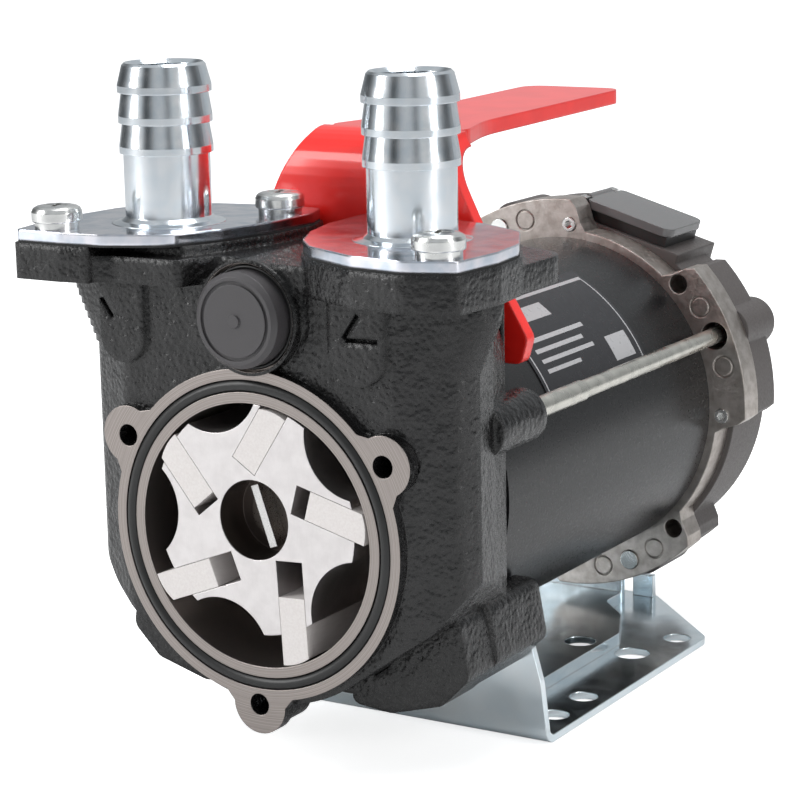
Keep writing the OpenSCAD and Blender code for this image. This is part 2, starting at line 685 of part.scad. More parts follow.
foot_in = 15;
casting_bend_y = 24;
casting_draft = 1.5;
casting_round = 8;
casting_step = 7;
casting_edge_r = 3;
hub_wall = 4;
rod_boss_front = 24;
rod_angles = [rod_angle, rod_angle + 180];
boss_reach = 8;
handle_boss_len = 6;
handle_boss_r = 3.6;
handle_screw_r = 2.5;
handle_hole_low = 2;
front_lug_back = 28;
rear_lug_out = 0.6;
rear_lug_up = 0.8;
core_lug_front = 22;
core_lug_low = 4;
core_lug_in = 8;
core_lug_top = 20;
belly_over = 6;
belly_low = 3;
belly_top = 30;
seal_hole_gap = 3;
rod_hole_depth = 7;
bolt_r = 3;
bolt_hole_depth = 12;
foot_front_share = [[-0.02, -0.93, 0.04], [0.33, -0.74, 0], [0.7, -0.42, 0.05], [0.92, -0.42, 0.06],
    [1, -0.74, 0.08], [0.77, -0.91, 0.08], [0.34, -1, 0.1], [0.05, -0.98, 0.06]];
// One foot's outline: X from its inner to its outer side, Z as a share of its depth
module foot_outline() polygon(outline([for (s = foot_front_share)
    [foot_in + s[0] * (foot_out - foot_in), s[1] * foot_low, s[2] * foot_low]]));
module motor_adapter() color([0.19, 0.185, 0.185]) at_front() difference() {
    union() {
        intersection() {
            span_y(casting_front, casting_back) body_outline(casting_half_w);
            // Round upright edges at the back
            lift(-2 * ring_r) linear_extrude(4 * ring_r)
                polygon(outline([[-casting_half_w, joint_y, 0], [casting_half_w, joint_y, 0],
                    [casting_half_w - casting_draft, casting_bend_y, casting_round],
                    [casting_half_w - casting_step, casting_back, casting_edge_r],
                    [casting_step - casting_half_w, casting_back, casting_edge_r],
                    [casting_draft - casting_half_w, casting_bend_y, casting_round]]));
            block([-body_half_w, 0, -2 * ring_r], [body_half_w, slab_back, casting_top]);
        }
        // Hub for the seal and the bearing
        lift(axis_rise)
            disc_y(casting_back - over, front_bearing_back, front_bearing_r + hub_wall);
        // Bosses of the tie rods and the handle screws
        for (a = rod_angles) lift(axis_rise) intersection() {
            bar_y(rod_circle_r * cos(a), rod_circle_r * sin(a), rod_boss_front, rod_boss_back, rod_boss_r);
            block([-body_half_w, 0, -ring_r - boss_reach], [body_half_w, slab_back + boss_reach,
                ring_r + boss_reach]);
        }
        for (s = [-1, 1])
            bar_y(s * handle_screw_x, handle_screw_z, casting_back - handle_boss_len, handle_y,
                handle_boss_r);
        // Feet: a front lug and a set-back rear lug, hollowed round the motor
        difference() {
            for (s = [0, 1]) mirror([s, 0, 0]) {
                span_y(casting_front, front_lug_back) foot_outline();
                span_y(front_lug_back - over, foot_back) translate([rear_lug_out,
                    rear_lug_up]) foot_outline();
                block([foot_in, core_lug_front, core_lug_low - foot_low], [foot_out - core_lug_in,
                    foot_back, -core_lug_top]);
            }
            bar_y(0, axis_rise, casting_back, foot_back + over, motor_r + fixed_gap);
        }
        block([-foot_in - belly_over, casting_front, belly_low - foot_low],
            [foot_in + belly_over, casting_back, -belly_top]);
    }
    // Cavity for the body core
    intersection() {
        span_y(joint_y - over, core_back + fixed_gap) body_outline(core_half_w + fixed_gap,
            fixed_gap - core_low_inset);
        block([-body_half_w, 0, -2 * ring_r], [body_half_w, slab_back, casting_top + over]);
    }
    // Seal and bearing seats
    lift(axis_rise) {
        disc_y(core_back - over, front_bearing_y - seal_set, front_bearing_r - seal_inset);
        disc_y(front_bearing_y, front_bearing_back + over, front_bearing_r);
        disc_y(core_back, front_bearing_y + over, shaft_r + seal_hole_gap);
    }
    // Tapped holes of the tie rods, on through the foot behind the lower one
    for (a = rod_angles) lift(axis_rise)
        bar_y(rod_circle_r * cos(a), rod_circle_r * sin(a), rod_boss_back - rod_hole_depth, foot_back + over,
            rod_thread_r + press_gap);
    for (s = [-1, 1]) {
        bar_y(s * handle_screw_x, handle_screw_z, casting_back - handle_hole_low, handle_y + over,
            handle_screw_r);
        bar_y(s * bracket_bolt_x, -bracket_bolt_z, foot_back - bolt_hole_depth, foot_back + over, bolt_r);
    }
}

module port_gasket(shares) lift(block_top) difference() {
    linear_extrude(port_gasket_t) plate_outline(shares, seat_share);
    lift(-over) cylinder(h = 3 * over, r = port_bore_r);
}
module outlet_gasket() color([0.1, 0.1, 0.1]) at_front() difference() {
    outlet_place() port_gasket(outlet_outline_share);
    outlet_screws(block_top - over, block_top + 2 * over, port_screw_r + fixed_gap);
}
module inlet_gasket() color([0.1, 0.1, 0.1]) at_front() difference() {
    inlet_place() port_gasket(inlet_outline_share);
    inlet_screws(block_top - over, block_top + 2 * over, port_screw_r + fixed_gap);
}

plate_low = block_top + port_gasket_t;
plate_top = plate_low + plate_t;
module flange_plate(shares) lift(plate_low) difference() {
    linear_extrude(plate_t) plate_outline(shares, seat_share);
    lift(-over) cylinder(h = plate_t + 2 * over, r = tail_r + press_gap);
}
module outlet_flange_plate() color([0.8, 0.83, 0.87]) at_front() difference() {
    outlet_place() flange_plate(outlet_outline_share);
    outlet_screws(plate_low - over, plate_top + over, port_screw_r + fixed_gap);
}
module inlet_flange_plate() color([0.8, 0.83, 0.87]) at_front() difference() {
    inlet_place() flange_plate(inlet_outline_share);
    inlet_screws(plate_low - over, plate_top + over, port_screw_r + fixed_gap);
}

collar_h = 1.5;
collar_w = 3.2;
rim_round = 0.8;
cut_step = 0.01;
mouth_h = 1.2;
mouth_wall = 0.3;
module hose_tail() difference() {
    rotate_extrude() polygon([[0, plate_low + press_gap], [tail_r, plate_low + press_gap],
        [tail_r, plate_top], [tail_r + collar_w, plate_top], [tail_r + 0.3 * collar_w,
            plate_top + 0.4 * collar_h],
        [tail_r, plate_top + collar_h],
        [tail_r, tail_top - 3 * rib_pitch],
        for (i = [3, 2, 1]) each [[rib_r, tail_top - i * rib_pitch], [rib_r,
            tail_top - i * rib_pitch + rib_land],
            [i == 1 ? rim_r : tail_r, tail_top - (i - 1) * rib_pitch - (i == 1 ? rim_round : cut_step)]],
        [rim_r - rim_round, tail_top], [0, tail_top]]);
    bar_z(0, 0, plate_low - over, tail_top + over, tail_bore_r);
    lift(tail_top - mouth_h) cylinder(h = mouth_h + cut_step, r1 = tail_bore_r,
        r2 = rim_r - mouth_wall);
}
module outlet_hose_tail() color([0.82, 0.85, 0.88]) at_front() outlet_place() hose_tail();
module inlet_hose_tail() color([0.82, 0.85, 0.88]) at_front() inlet_place() hose_tail();

head_low = plate_top + washer_t;
cross_turn = 20;
module pan_screw(x, y) translate([x, y, 0]) difference() {
    union() {
        lift(head_low) rotate_extrude() polygon([[0, 0], [0.97 * pan_r, 0],
            [pan_r, 0.08 * pan_h],
            [pan_r, 0.6 * pan_h], [0.93 * pan_r, 0.82 * pan_h], [0.8 * pan_r, 0.94 * pan_h], [0.6 * pan_r,
                pan_h],
            [0, pan_h]]);
        bar_z(0, 0, block_top - port_screw_depth, head_low + over, port_screw_r);
    }
    for (a = [0, 90]) lift(head_low + pan_h) rotate([0, 0, a + cross_turn])
        cube([0.95 * pan_r, 0.2 * pan_r, pan_h], center = true);
}
module port_screws() color([0.85, 0.85, 0.82]) at_front() {
    for (s = outlet_places_share) pan_screw(port_x + s[0] * plate_half_w, port_y + s[1] * plate_half_w);
    for (s = inlet_places_share) pan_screw(-port_x + s[0] * plate_half_w, port_y + s[1] * plate_half_w);
}
module port_spring_washers() color([0.7, 0.68, 0.6]) at_front() difference() {
    union() {
        outlet_screws(plate_top, head_low, 0.88 * pan_r);
        inlet_screws(plate_top, head_low, 0.88 * pan_r);
    }
    outlet_screws(plate_top - over, head_low + over, port_screw_r);
    inlet_screws(plate_top - over, head_low + over, port_screw_r);
}

handle_screw_x = 26;
handle_screw_z = 46;
handle_out = 41.8;
handle_head_h = 4;
handle_head_r = 4.25;
handle_hex_r = 2.1;
arch_gap = 1.1;
handle_arc_r = motor_r + arch_gap;
handle_back = handle_y + handle_t;
bend_back = handle_back + bend_r;
bend_half_w = 19.5;
bend_edge_r = 4;
blade_ease_r = 40;
blade_corner_r = 5;
// Right edge of the plate from the bend down: across by its half width, up by the blade's height
handle_share = [[0.581, 0.873, 0.239], [0.878, 0.569, 0.478], [1, 0.4665, 0.072], [0.957, 0.395, 0.048]];
// Side view of the handle: upright plate, bend and blade in one strip
module handle_profile() polygon(outline([[handle_y, 0, 0], [handle_y, blade_top, bend_r + handle_t],
    [blade_end, blade_top + blade_rise, 0], [blade_end, blade_top + blade_rise - handle_t, 0],
    [handle_back, blade_top - handle_t, bend_r], [handle_back, 0, 0]], 10));
module handle_plate_outline() difference() {
    polygon(outline([[-bend_half_w, blade_top + handle_t, 0], [-bend_half_w, blade_top - over, bend_edge_r],
        for (s = handle_share) [-s[0] * handle_out, s[1] * blade_top, s[2] * handle_out],
        for (i = [len(handle_share) - 1 : -1 : 0]) let(s = handle_share[i])
            [s[0] * handle_out, s[1] * blade_top, s[2] * handle_out],
        [bend_half_w, blade_top - over, bend_edge_r], [bend_half_w, blade_top + handle_t, 0]]));
    translate([0, axis_rise]) circle(r = handle_arc_r);
}
module carry_handle() color([0.82, 0.06, 0.05]) at_front() difference() {
    intersection() {
        rotate([90, 0, 90]) lift(-body_half_w) linear_extrude(2 * body_half_w) handle_profile();
        union() {
            span_y(handle_y - over, bend_back) handle_plate_outline();
            // Outline of the blade from above
            lift(blade_top / 2) linear_extrude(blade_top) polygon(outline([
                [-bend_half_w, bend_back - over, bend_edge_r], [bend_half_w, bend_back - over, bend_edge_r],
                [blade_half_w, bend_back + 2 * bend_r, blade_ease_r], [blade_half_w, blade_end,
                    blade_corner_r],
                [-blade_half_w, blade_end, blade_corner_r], [-blade_half_w, bend_back + 2 * bend_r,
                    blade_ease_r]]));
        }
    }
    for (s = [-1, 1]) bar_y(s * handle_screw_x, handle_screw_z, handle_y - over, handle_back + over,
        handle_screw_r + fixed_gap);
}

module handle_screws() color([0.75, 0.75, 0.76]) at_front() for (s = [-1, 1]) {
    bar_y(s * handle_screw_x, handle_screw_z, casting_back, handle_back + over, handle_screw_r);
    difference() {
        bar_y(s * handle_screw_x, handle_screw_z, handle_back, handle_back + handle_head_h, handle_head_r);
        bar_y(s * handle_screw_x, handle_screw_z, handle_back + handle_head_h / 2,
            handle_back + handle_head_h + over, handle_hex_r, $fn = 6);
    }
}

motor_front = casting_back;
module motor_casing() color([0.13, 0.13, 0.14]) at_motor() difference() {
    disc_y(motor_front, motor_back, motor_r);
    disc_y(motor_front - over, motor_back + over, motor_r - motor_wall);
    // Relief for the bosses on the rear casting
    for (a = rod_angles)
        bar_y(rod_circle_r * cos(a), rod_circle_r * sin(a), motor_front - over, rod_boss_back + fixed_gap,
            rod_boss_r + fixed_gap);
}

label_front = 66;
label_back = 118;
label_from_angle = 24;
label_to_angle = 66;
label_t = 0.25;
module motor_label() color([0.2, 0.21, 0.23]) at_motor() intersection() {
    race(label_front, label_back - label_front, motor_r, motor_r + label_t);
    span_y(label_front - over, label_back + over)
        polygon(concat([[0, 0]], arc_points(2 * motor_r, label_from_angle, label_to_angle, 4)));
}

armature_back = armature_front + armature_len;
magnet_t = 5.5;
magnet_half_angle = 62;
magnet_over = 4;
module field_magnets() color([0.15, 0.15, 0.16]) at_motor() for (a = [0, 180]) turn_y(a)
    span_y(armature_front - magnet_over, armature_back + magnet_over)
        polygon(concat(arc_points(motor_r - motor_wall - snug_gap, -magnet_half_angle, magnet_half_angle, 20),
            arc_points(motor_r - motor_wall - magnet_t, magnet_half_angle, -magnet_half_angle, 20)));

slot_count = 12;
slot_inset = 9;
slot_r = 4;
slot_mouth_in = 6;
slot_mouth_w = 2;
module armature_core() color([0.45, 0.44, 0.43]) at_motor() difference() {
    disc_y(armature_front, armature_back, armature_r);
    disc_y(armature_front - over, armature_back + over, shaft_r + press_gap);
    for (i = [0 : slot_count - 1]) turn_y(i * 360 / slot_count) {
        bar_y(armature_r - slot_inset, 0, armature_front - over, armature_back + over, slot_r);
        translate([armature_r - slot_mouth_in, armature_front - over, -slot_mouth_w / 2])
            cube([slot_mouth_in + 2 * over, armature_len + 2 * over, slot_mouth_w]);
    }
}

winding_end = 7;
winding_gap = 0.2;
winding_inset = 3;
winding_bore = 4;
module armature_windings() color([0.72, 0.4, 0.2]) at_motor() union() {
    for (i = [0 : slot_count - 1]) turn_y(i * 360 / slot_count)
        bar_y(armature_r - slot_inset, 0, armature_front - over, armature_back + over,
            slot_r - winding_gap);
    for (y = [armature_front - winding_end, armature_back]) difference() {
        disc_y(y, y + winding_end, armature_r - winding_inset);
        disc_y(y - over, y + winding_end + over, shaft_r + winding_bore);
    }
}

commutator_gap = 1;
segment_depth = 1;
segment_gap = 0.6;
commutator_front = armature_back + winding_end + commutator_gap;
commutator_back = commutator_front + commutator_len;
module commutator() color([0.75, 0.47, 0.25]) at_motor() difference() {
    disc_y(commutator_front, commutator_back, commutator_r);
    disc_y(commutator_front - over, commutator_back + over, shaft_r);
    for (i = [0 : slot_count - 1]) turn_y((i + 0.5) * 360 / slot_count)
        translate([commutator_r - segment_depth, commutator_front - over, -segment_gap / 2])
            cube([2 * segment_depth, commutator_len + 2 * over, segment_gap]);
}

brush_plate_gap = 2;
brush_plate_clear = 1;
brush_plate_y = commutator_back + brush_plate_gap;
brush_plate_t = 2;
module brush_plate() color([0.35, 0.28, 0.18]) at_motor() difference() {
    disc_y(brush_plate_y, brush_plate_y + brush_plate_t, motor_r - motor_wall - press_gap);
    disc_y(brush_plate_y - over, brush_plate_y + brush_plate_t + over, commutator_r + brush_plate_clear);
}
brush_w = 6;
brush_d = 8;
brush_len = 8;
holder_len = 18;
brush_set = 2;
brush_y = commutator_front + brush_set;
holder_gap = 1.5;
holder_wall = 1.2;
brush_spring_r = 2.4;
brush_spring_wire = 0.6;
brush_angles = [45, 225];
module brush_holders() color([0.75, 0.65, 0.35]) at_motor() for (a = brush_angles) rotate([0,
    a, 0]) difference() {
    block([commutator_r + holder_gap, brush_y - holder_wall, -brush_w / 2 - holder_wall],
        [commutator_r + holder_gap + holder_len, brush_plate_y, brush_w / 2 + holder_wall]);
    block([commutator_r, brush_y - snug_gap, -brush_w / 2 - snug_gap],
        [commutator_r + holder_len, brush_y + brush_d + snug_gap, brush_w / 2 + snug_gap]);
}
module brushes() color([0.1, 0.1, 0.1]) at_motor() for (a = brush_angles) turn_y(a)
    block([commutator_r + running_gap, brush_y, -brush_w / 2],
        [commutator_r + running_gap + brush_len, brush_y + brush_d, brush_w / 2]);
module brush_springs() color([0.7, 0.7, 0.72]) at_motor() for (a = brush_angles) turn_y(a)
    translate([commutator_r + running_gap + brush_len, brush_y + brush_d / 2, 0])
        turn_y(90) difference() {
        cylinder(h = holder_len - brush_len - running_gap, r = brush_spring_r);
        lift(-over) cylinder(h = holder_len, r = brush_spring_r - brush_spring_wire);
    }

flange_back = motor_back + flange_t;
lobe_from_angle = -8;
lobe_to_angle = 50;
lobe_edge_angle = 6;
// Radius of the flange edge at an angle, with smooth steps between waist and lobe
function edge_r(a, low, high) = let(b = (a - lobe_from_angle + 360) % 90, w = lobe_to_angle - lobe_from_angle)
    b < lobe_edge_angle ? low + (high - low) * (1 - cos(180 * b / lobe_edge_angle)) / 2 :
    b < w - lobe_edge_angle ? high :
    b < w ? low + (high - low) * (1 + cos(180 * (b - w + lobe_edge_angle) / lobe_edge_angle)) / 2 : low;
module lobed(low, high) polygon([for (a = [0 : 2 : 358]) edge_r(a, low, high) * [cos(a), sin(a)]]);
spigot_len = 3;
spigot_floor = 1;
spigot_wall = 3;
bearing_lip = 2;
// Circles and sizes of the holes and marks round the flange
screw_turn = 2;
screw_circle_r = 45.9;
flange_screw_r = 1.85;
dowel_turn = 44;
dowel_circle_r = 46.3;
dowel_r = 2.5;
mark_angles = [14, 34];
mark_circle_r = 47.6;
mark_r = 2.8;
mark_w = 0.4;
mark_depth = 0.3;
module rear_flange() color([0.7, 0.66, 0.62]) at_motor() difference() {
    union() {
        span_y(motor_back, flange_back) lobed(waist_r, lobe_r);
        disc_y(motor_back - spigot_len, motor_back + over, motor_r - motor_wall - press_gap);
    }
    disc_y(motor_back - spigot_len - over, motor_back - spigot_floor,
        motor_r - motor_wall - spigot_wall);
    disc_y(motor_back - spigot_len - over, rear_bearing_y, journal_r + race_t + bearing_lip);
    disc_y(rear_bearing_y, flange_back + over, rear_bearing_r);
    for (q = [0 : 3]) turn_y(-90 * q) {
        turn_y(screw_turn)
            bar_y(screw_circle_r, 0, motor_back - over, flange_back + over, flange_screw_r + snug_gap);
        turn_y(-dowel_turn) bar_y(dowel_circle_r, 0, motor_back - over, flange_back + over, dowel_r);
        // Shallow round marks of the casting tool
        for (a = mark_angles) turn_y(-a) difference() {
            bar_y(mark_circle_r, 0, motor_back - over, motor_back + mark_depth, mark_r);
            bar_y(mark_circle_r, 0, motor_back - 2 * over, motor_back + over, mark_r - mark_w);
        }
    }
    // Wide holes for the tie rods, close ones for the cover screws
    for (q = [0 : 3]) turn_y(-90 * q - rod_angle)
        bar_y(rod_circle_r, 0, motor_back - over, flange_back + over,
            q % 2 == 0 ? rod_hole_r : cover_screw_r + running_gap);
}

cover_screw_r = 2.5;
flange_screw_set = 0.4;
flange_hex_r = 1.1;
flange_hex_depth = 1;
module flange_screws() color([0.8, 0.8, 0.76]) at_motor()
    // Screws whose hollow ends show in the front of the flange
    for (q = [0 : 2]) turn_y(-90 * q + screw_turn) difference() {
        bar_y(screw_circle_r, 0, motor_back - flange_screw_set, flange_back, flange_screw_r);
        bar_y(screw_circle_r, 0, motor_back - over, motor_back + flange_hex_depth, flange_hex_r, $fn = 6);
    }

rod_hold = 6.5;
rod_end_set = 10;
rod_start = rod_boss_back - rod_hold;
rod_end = flange_back + cover_len - rod_end_set;
module tie_rods() color([0.78, 0.76, 0.7]) at_motor() for (a = rod_angles) turn_y(-a) {
    bar_y(rod_circle_r, 0, rod_start, rod_boss_back + rod_thread_len, rod_thread_r);
    bar_y(rod_circle_r, 0, rod_boss_back + rod_thread_len - over, rod_end, rod_r);
}
nut_r = 4.6;
nut_h = 4;
nut_set = 1;
nut_front = rod_end - nut_h - nut_set;
module tie_rod_nuts() color([0.78, 0.76, 0.7]) at_motor() for (a = rod_angles) turn_y(-a)
    difference() {
        bar_y(rod_circle_r, 0, nut_front, rod_end - nut_set, nut_r, $fn = 6);
        bar_y(rod_circle_r, 0, nut_front - over, rod_end, rod_r + press_gap);
    }

cover_back = flange_back + cover_len;
cover_step = 13;
cover_waist_inset = 0.5;
cover_lobe_inset = 1;
// Rounding of the cover's back edge, as shares of its radius and length
cover_edge_share = [[0, 0.296], [0.0435, 0.111], [0.152, 0]];
boss_set = 0.5;
boss_len = 4;
boss_wall = 1.9;
boss_back = flange_back + cover_step + boss_len;
pad_left = 4;
pad_right = 6;
pad_back = 4;
pad_low = 30;
seat_drop = 5.2;
seat_left = 4.2;
seat_right = 3.5;
seat_back = 4.5;
hollow_inset = 2;
hollow_edge_len = 9;
hollow_edge_w = 8;
cover_rod_hole_r = 3;
nut_gap = 0.4;
cover_head_r = 4.2;
cover_head_h = 3;
cover_hex_r = 2;
cover_screw_proud = 0.6;
opening_w = 2.5;
opening_set = 1.5;
opening_low = 20;
pocket_half_w = 15;
pocket_depth = 4;
pocket_top = 34;
gland_x = -20;
gland_z = -16;
gland_hole_r = 6;
module rear_cover() color([0.22, 0.21, 0.21]) at_motor() difference() {
    union() {
        span_y(flange_back, flange_back + cover_step) lobed(waist_r - cover_waist_inset,
            lobe_r - cover_lobe_inset);
        turned_y() polygon([[0, flange_back], [cover_r, flange_back],
            for (e = cover_edge_share) [cover_r - e[0] * cover_r, cover_back - e[1] * cover_len], [0,
                cover_back]]);
        // Bosses over the tie rod ends
        for (q = [0 : 3]) turn_y(-90 * q - rod_angle)
            bar_y(rod_circle_r - boss_set, 0, flange_back, boss_back, nut_r + boss_wall);
        // Pad under the switch
        turn_y(switch_tilt) block([-flap_w / 2 - pad_left, flange_back, pad_low],
            [flap_w / 2 + pad_right, flange_back + flap_d + pad_back, flap_h - seat_drop]);
    }
    // Hollow inside
    turned_y() polygon([[0, flange_back - over], [cover_r - cover_wall - hollow_inset, flange_back - over],
        [cover_r - cover_wall - hollow_inset, cover_back - hollow_edge_len],
        [cover_r - cover_wall - hollow_edge_w, cover_back - cover_wall],
        [0, cover_back - cover_wall]]);
    // Tie rod holes with nut pockets from behind
    for (q = [0, 2]) turn_y(-90 * q - rod_angle) {
        bar_y(rod_circle_r, 0, flange_back - over, cover_back, cover_rod_hole_r);
        bar_y(rod_circle_r, 0, nut_front, cover_back, nut_r + nut_gap);
    }
    for (q = [1, 3]) turn_y(-90 * q - rod_angle) {
        bar_y(rod_circle_r, 0, flange_back - over, cover_back, cover_screw_r + running_gap);
        bar_y(rod_circle_r, 0, boss_back, cover_back + over, cover_head_r + nut_gap);
    }
    // Flat seat that the switch flap lies over
    turn_y(switch_tilt) block([-flap_w / 2 - seat_left, flange_back - over, flap_h - seat_drop],
        [flap_w / 2 + seat_right, flange_back + flap_d + seat_back, lobe_r + pad_back]);
    // Opening of the switch
    turn_y(switch_tilt) block([-rocker_w / 2 - opening_w, switch_front + opening_set, opening_low],
        [rocker_w / 2 + opening_w, switch_back - opening_set, flap_h]);
    // Pocket for the bracket's rear tab
    block([-pocket_half_w, flange_back - over, -lobe_r - over],
        [pocket_half_w, flange_back + pocket_depth, -pocket_top - axis_rise]);
    // Hole of the cable gland, low on the back
    bar_y(gland_x, gland_z, cover_back - cover_wall - over, cover_back + over, gland_hole_r);
}

module cover_screws() color([0.75, 0.75, 0.72]) at_motor() for (q = [1, 3]) rotate([0,
    -90 * q - rod_angle, 0])
    difference() {
        union() {
            bar_y(rod_circle_r, 0, motor_back - cover_screw_proud, boss_back, cover_screw_r);
            bar_y(rod_circle_r, 0, boss_back,
                boss_back + cover_head_h, cover_head_r);
        }
        bar_y(rod_circle_r, 0, boss_back + cover_head_h / 2,
            boss_back + cover_head_h + over, cover_hex_r, $fn = 6);
    }

rocker_w = 13;
switch_set = 1.5;
switch_front = flange_back + switch_set;
switch_back = switch_front + flap_d;
switch_low = 26;
switch_wall = 2;
switch_floor = 6;
gasket_over = 1;
gasket_frame = 3;
gasket_top = flap_h - flap_t - fixed_gap;
module switch_frame() at_motor() turn_y(switch_tilt) children();
module switch_body() color([0.1, 0.1, 0.1]) switch_frame() difference() {
    block([-rocker_w / 2 - switch_wall, switch_front + switch_wall, switch_low],
        [rocker_w / 2 + switch_wall, switch_back - switch_wall, flap_h - seat_drop]);
    block([-rocker_w / 2, switch_front + 2 * switch_wall, switch_low + switch_floor],
        [rocker_w / 2, switch_back - 2 * switch_wall, flap_h]);
}
module switch_gasket() color([0.07, 0.07, 0.07]) switch_frame() difference() {
    block([-flap_w / 2, switch_front, flap_h - seat_drop], [flap_w / 2 + gasket_over, switch_back,
        gasket_top]);
    block([-rocker_w / 2 - gasket_over, switch_front + gasket_frame, flap_h - seat_drop - over],
        [rocker_w / 2 + gasket_over, switch_back - gasket_frame, flap_h]);
}
rocker_drop = 11;
rocker_set = 4.4;
rocker_axis_h = flap_h - rocker_drop;
rocker_r = rocker_w / 2 - fixed_gap;
module switch_rocker() color([0.12, 0.12, 0.12]) switch_frame() lift(rocker_axis_h)
    turn_y(-rocker_swing) intersection() {
        // Round belly under a top of two flat halves that meet in a shallow dip
        disc_y(switch_front + rocker_set, switch_back - rocker_set, rocker_r);
        span_y(switch_front + rocker_set, switch_back - rocker_set) polygon([[-rocker_r, -0.5 * rocker_r],
            [rocker_r, -0.5 * rocker_r], [rocker_r, 0.62 * rocker_r], [0, 0.35 * rocker_r],
                [-rocker_r, 0.62 * rocker_r]]);
    }
hinge_gap = 1.6;
hinge_x = -flap_w / 2 - hinge_gap;
flap_over = 1;
flap_round = 3;
knuckle_set = 3;
knuckle_r = 1.5;
knuckle_root = 0.5;
flap_pin_r = 0.75;
lug_len = 2.6;
lug_half_w = 1;
lug_top = 1.2;
hinge_h = flap_h - flap_t / 2;
module switch_flap() color([0.5, 0.5, 0.52, 0.5]) switch_frame() union() {
    lift(flap_h - flap_t) linear_extrude(flap_t) polygon(outline([
        [-flap_w / 2, switch_front - flap_over, flap_round / 2],
        [flap_w / 2 + 2 * flap_over, switch_front - flap_over, flap_round],
        [flap_w / 2 + 2 * flap_over, switch_back + flap_over, flap_round],
        [-flap_w / 2, switch_back + flap_over, flap_round / 2]]));
    difference() {
        union() {
            translate([hinge_x, 0, hinge_h]) disc_y(switch_front + knuckle_set,
                switch_back - knuckle_set, knuckle_r);
            block([hinge_x, switch_front + knuckle_set, hinge_h - flap_t / 2],
                [knuckle_root - flap_w / 2, switch_back - knuckle_set, hinge_h + flap_t / 2]);
        }
        translate([hinge_x, 0, hinge_h]) disc_y(switch_front, switch_back, flap_pin_r + snug_gap);
    }
}
module flap_pin() color([0.7, 0.7, 0.72]) switch_frame() union() {
    translate([hinge_x, 0, hinge_h]) disc_y(switch_front, switch_back, flap_pin_r);
    for (y = [switch_front, switch_back - lug_len])
        block([hinge_x - lug_half_w, y, flap_h - seat_drop], [hinge_x + lug_half_w, y + lug_len,
            hinge_h + lug_top]);
}

gland_neck = 4;
gland_hex_h = 4;
gland_hex_r = 9;
gland_len = 11;
gland_r = 7;
gland_bore_r = 3.2;
module cable_gland() color([0.1, 0.1, 0.1]) at_motor() translate([gland_x, 0, gland_z]) difference() {
    union() {
        disc_y(cover_back - cover_wall - gland_neck, cover_back, gland_hole_r - running_gap);
        disc_y(cover_back, cover_back + gland_hex_h, gland_hex_r, $fn = 6);
        disc_y(cover_back + gland_hex_h, cover_back + gland_len, gland_r);
    }
    disc_y(cover_back - cover_wall - gland_neck - over, cover_back + gland_len + over, gland_bore_r);
}

floor_z = -chamber_height;
bracket_bolt_x = 35;
bracket_bolt_z = 31;
origin_y = front_reach;
large_hole_x = 69.6;
pad_hole_x = 46;
wall_gap = 1.6;
foot_bend_r = 4;
tongue_half_w = 17.5;
taper_len = 28.6;
corner_round = 4;
wing_x = 15;
wing_half_w = 3;
wing_set = 3;
wing_top = 8;
tab_round = 8;
tab_hole_r = 2.7;
row_step = 15;
large_hole_y = 17;
large_hole_r = 4.5;
pad_hole_y = 11;
pad_hole_r = 4;
bolt_gap = 0.2;
// Right edge of the raised platform: across by the bracket's half width, along by its length
platform_share = [[0.59, 0.6154, 0.131], [0.4367, 0.7436, 0.109], [0.24, 0.8205, 0.087],
    [0.24, 0.9145, 0.0437]];
// Right edge of the front wall, by the bracket's half width
wall_share = [[0.972, 0.3275, 0.218], [0.917, 0.524, 0.131], [0.775, 0.742, 0.087]];
bracket_len = base_back - wall_front;
tab_w = 26;
tab_top = 36;
tab_y = flange_back;
module floor_outline() polygon(outline([
    [-base_half_w, wall_front + foot_bend_r - over, 0], [base_half_w,
        wall_front + foot_bend_r - over, 0],
    [base_half_w, base_back - taper_len, corner_round], [tongue_half_w, base_back, corner_round],
    [-tongue_half_w, base_back, corner_round], [-base_half_w, base_back - taper_len,
        corner_round]]));
module platform_outline(grow) polygon(outline([
    [-platform_share[0][0] * base_half_w - grow, wall_front + foot_bend_r, 0],
    [platform_share[0][0] * base_half_w + grow, wall_front + foot_bend_r, 0],
    for (p = platform_share)
        [p[0] * base_half_w + grow, wall_front + p[1] * bracket_len, p[2] * base_half_w],
    for (i = [len(platform_share) - 1 : -1 : 0]) let(p = platform_share[i])
        [-p[0] * base_half_w - grow, wall_front + p[1] * bracket_len, p[2] * base_half_w]]));
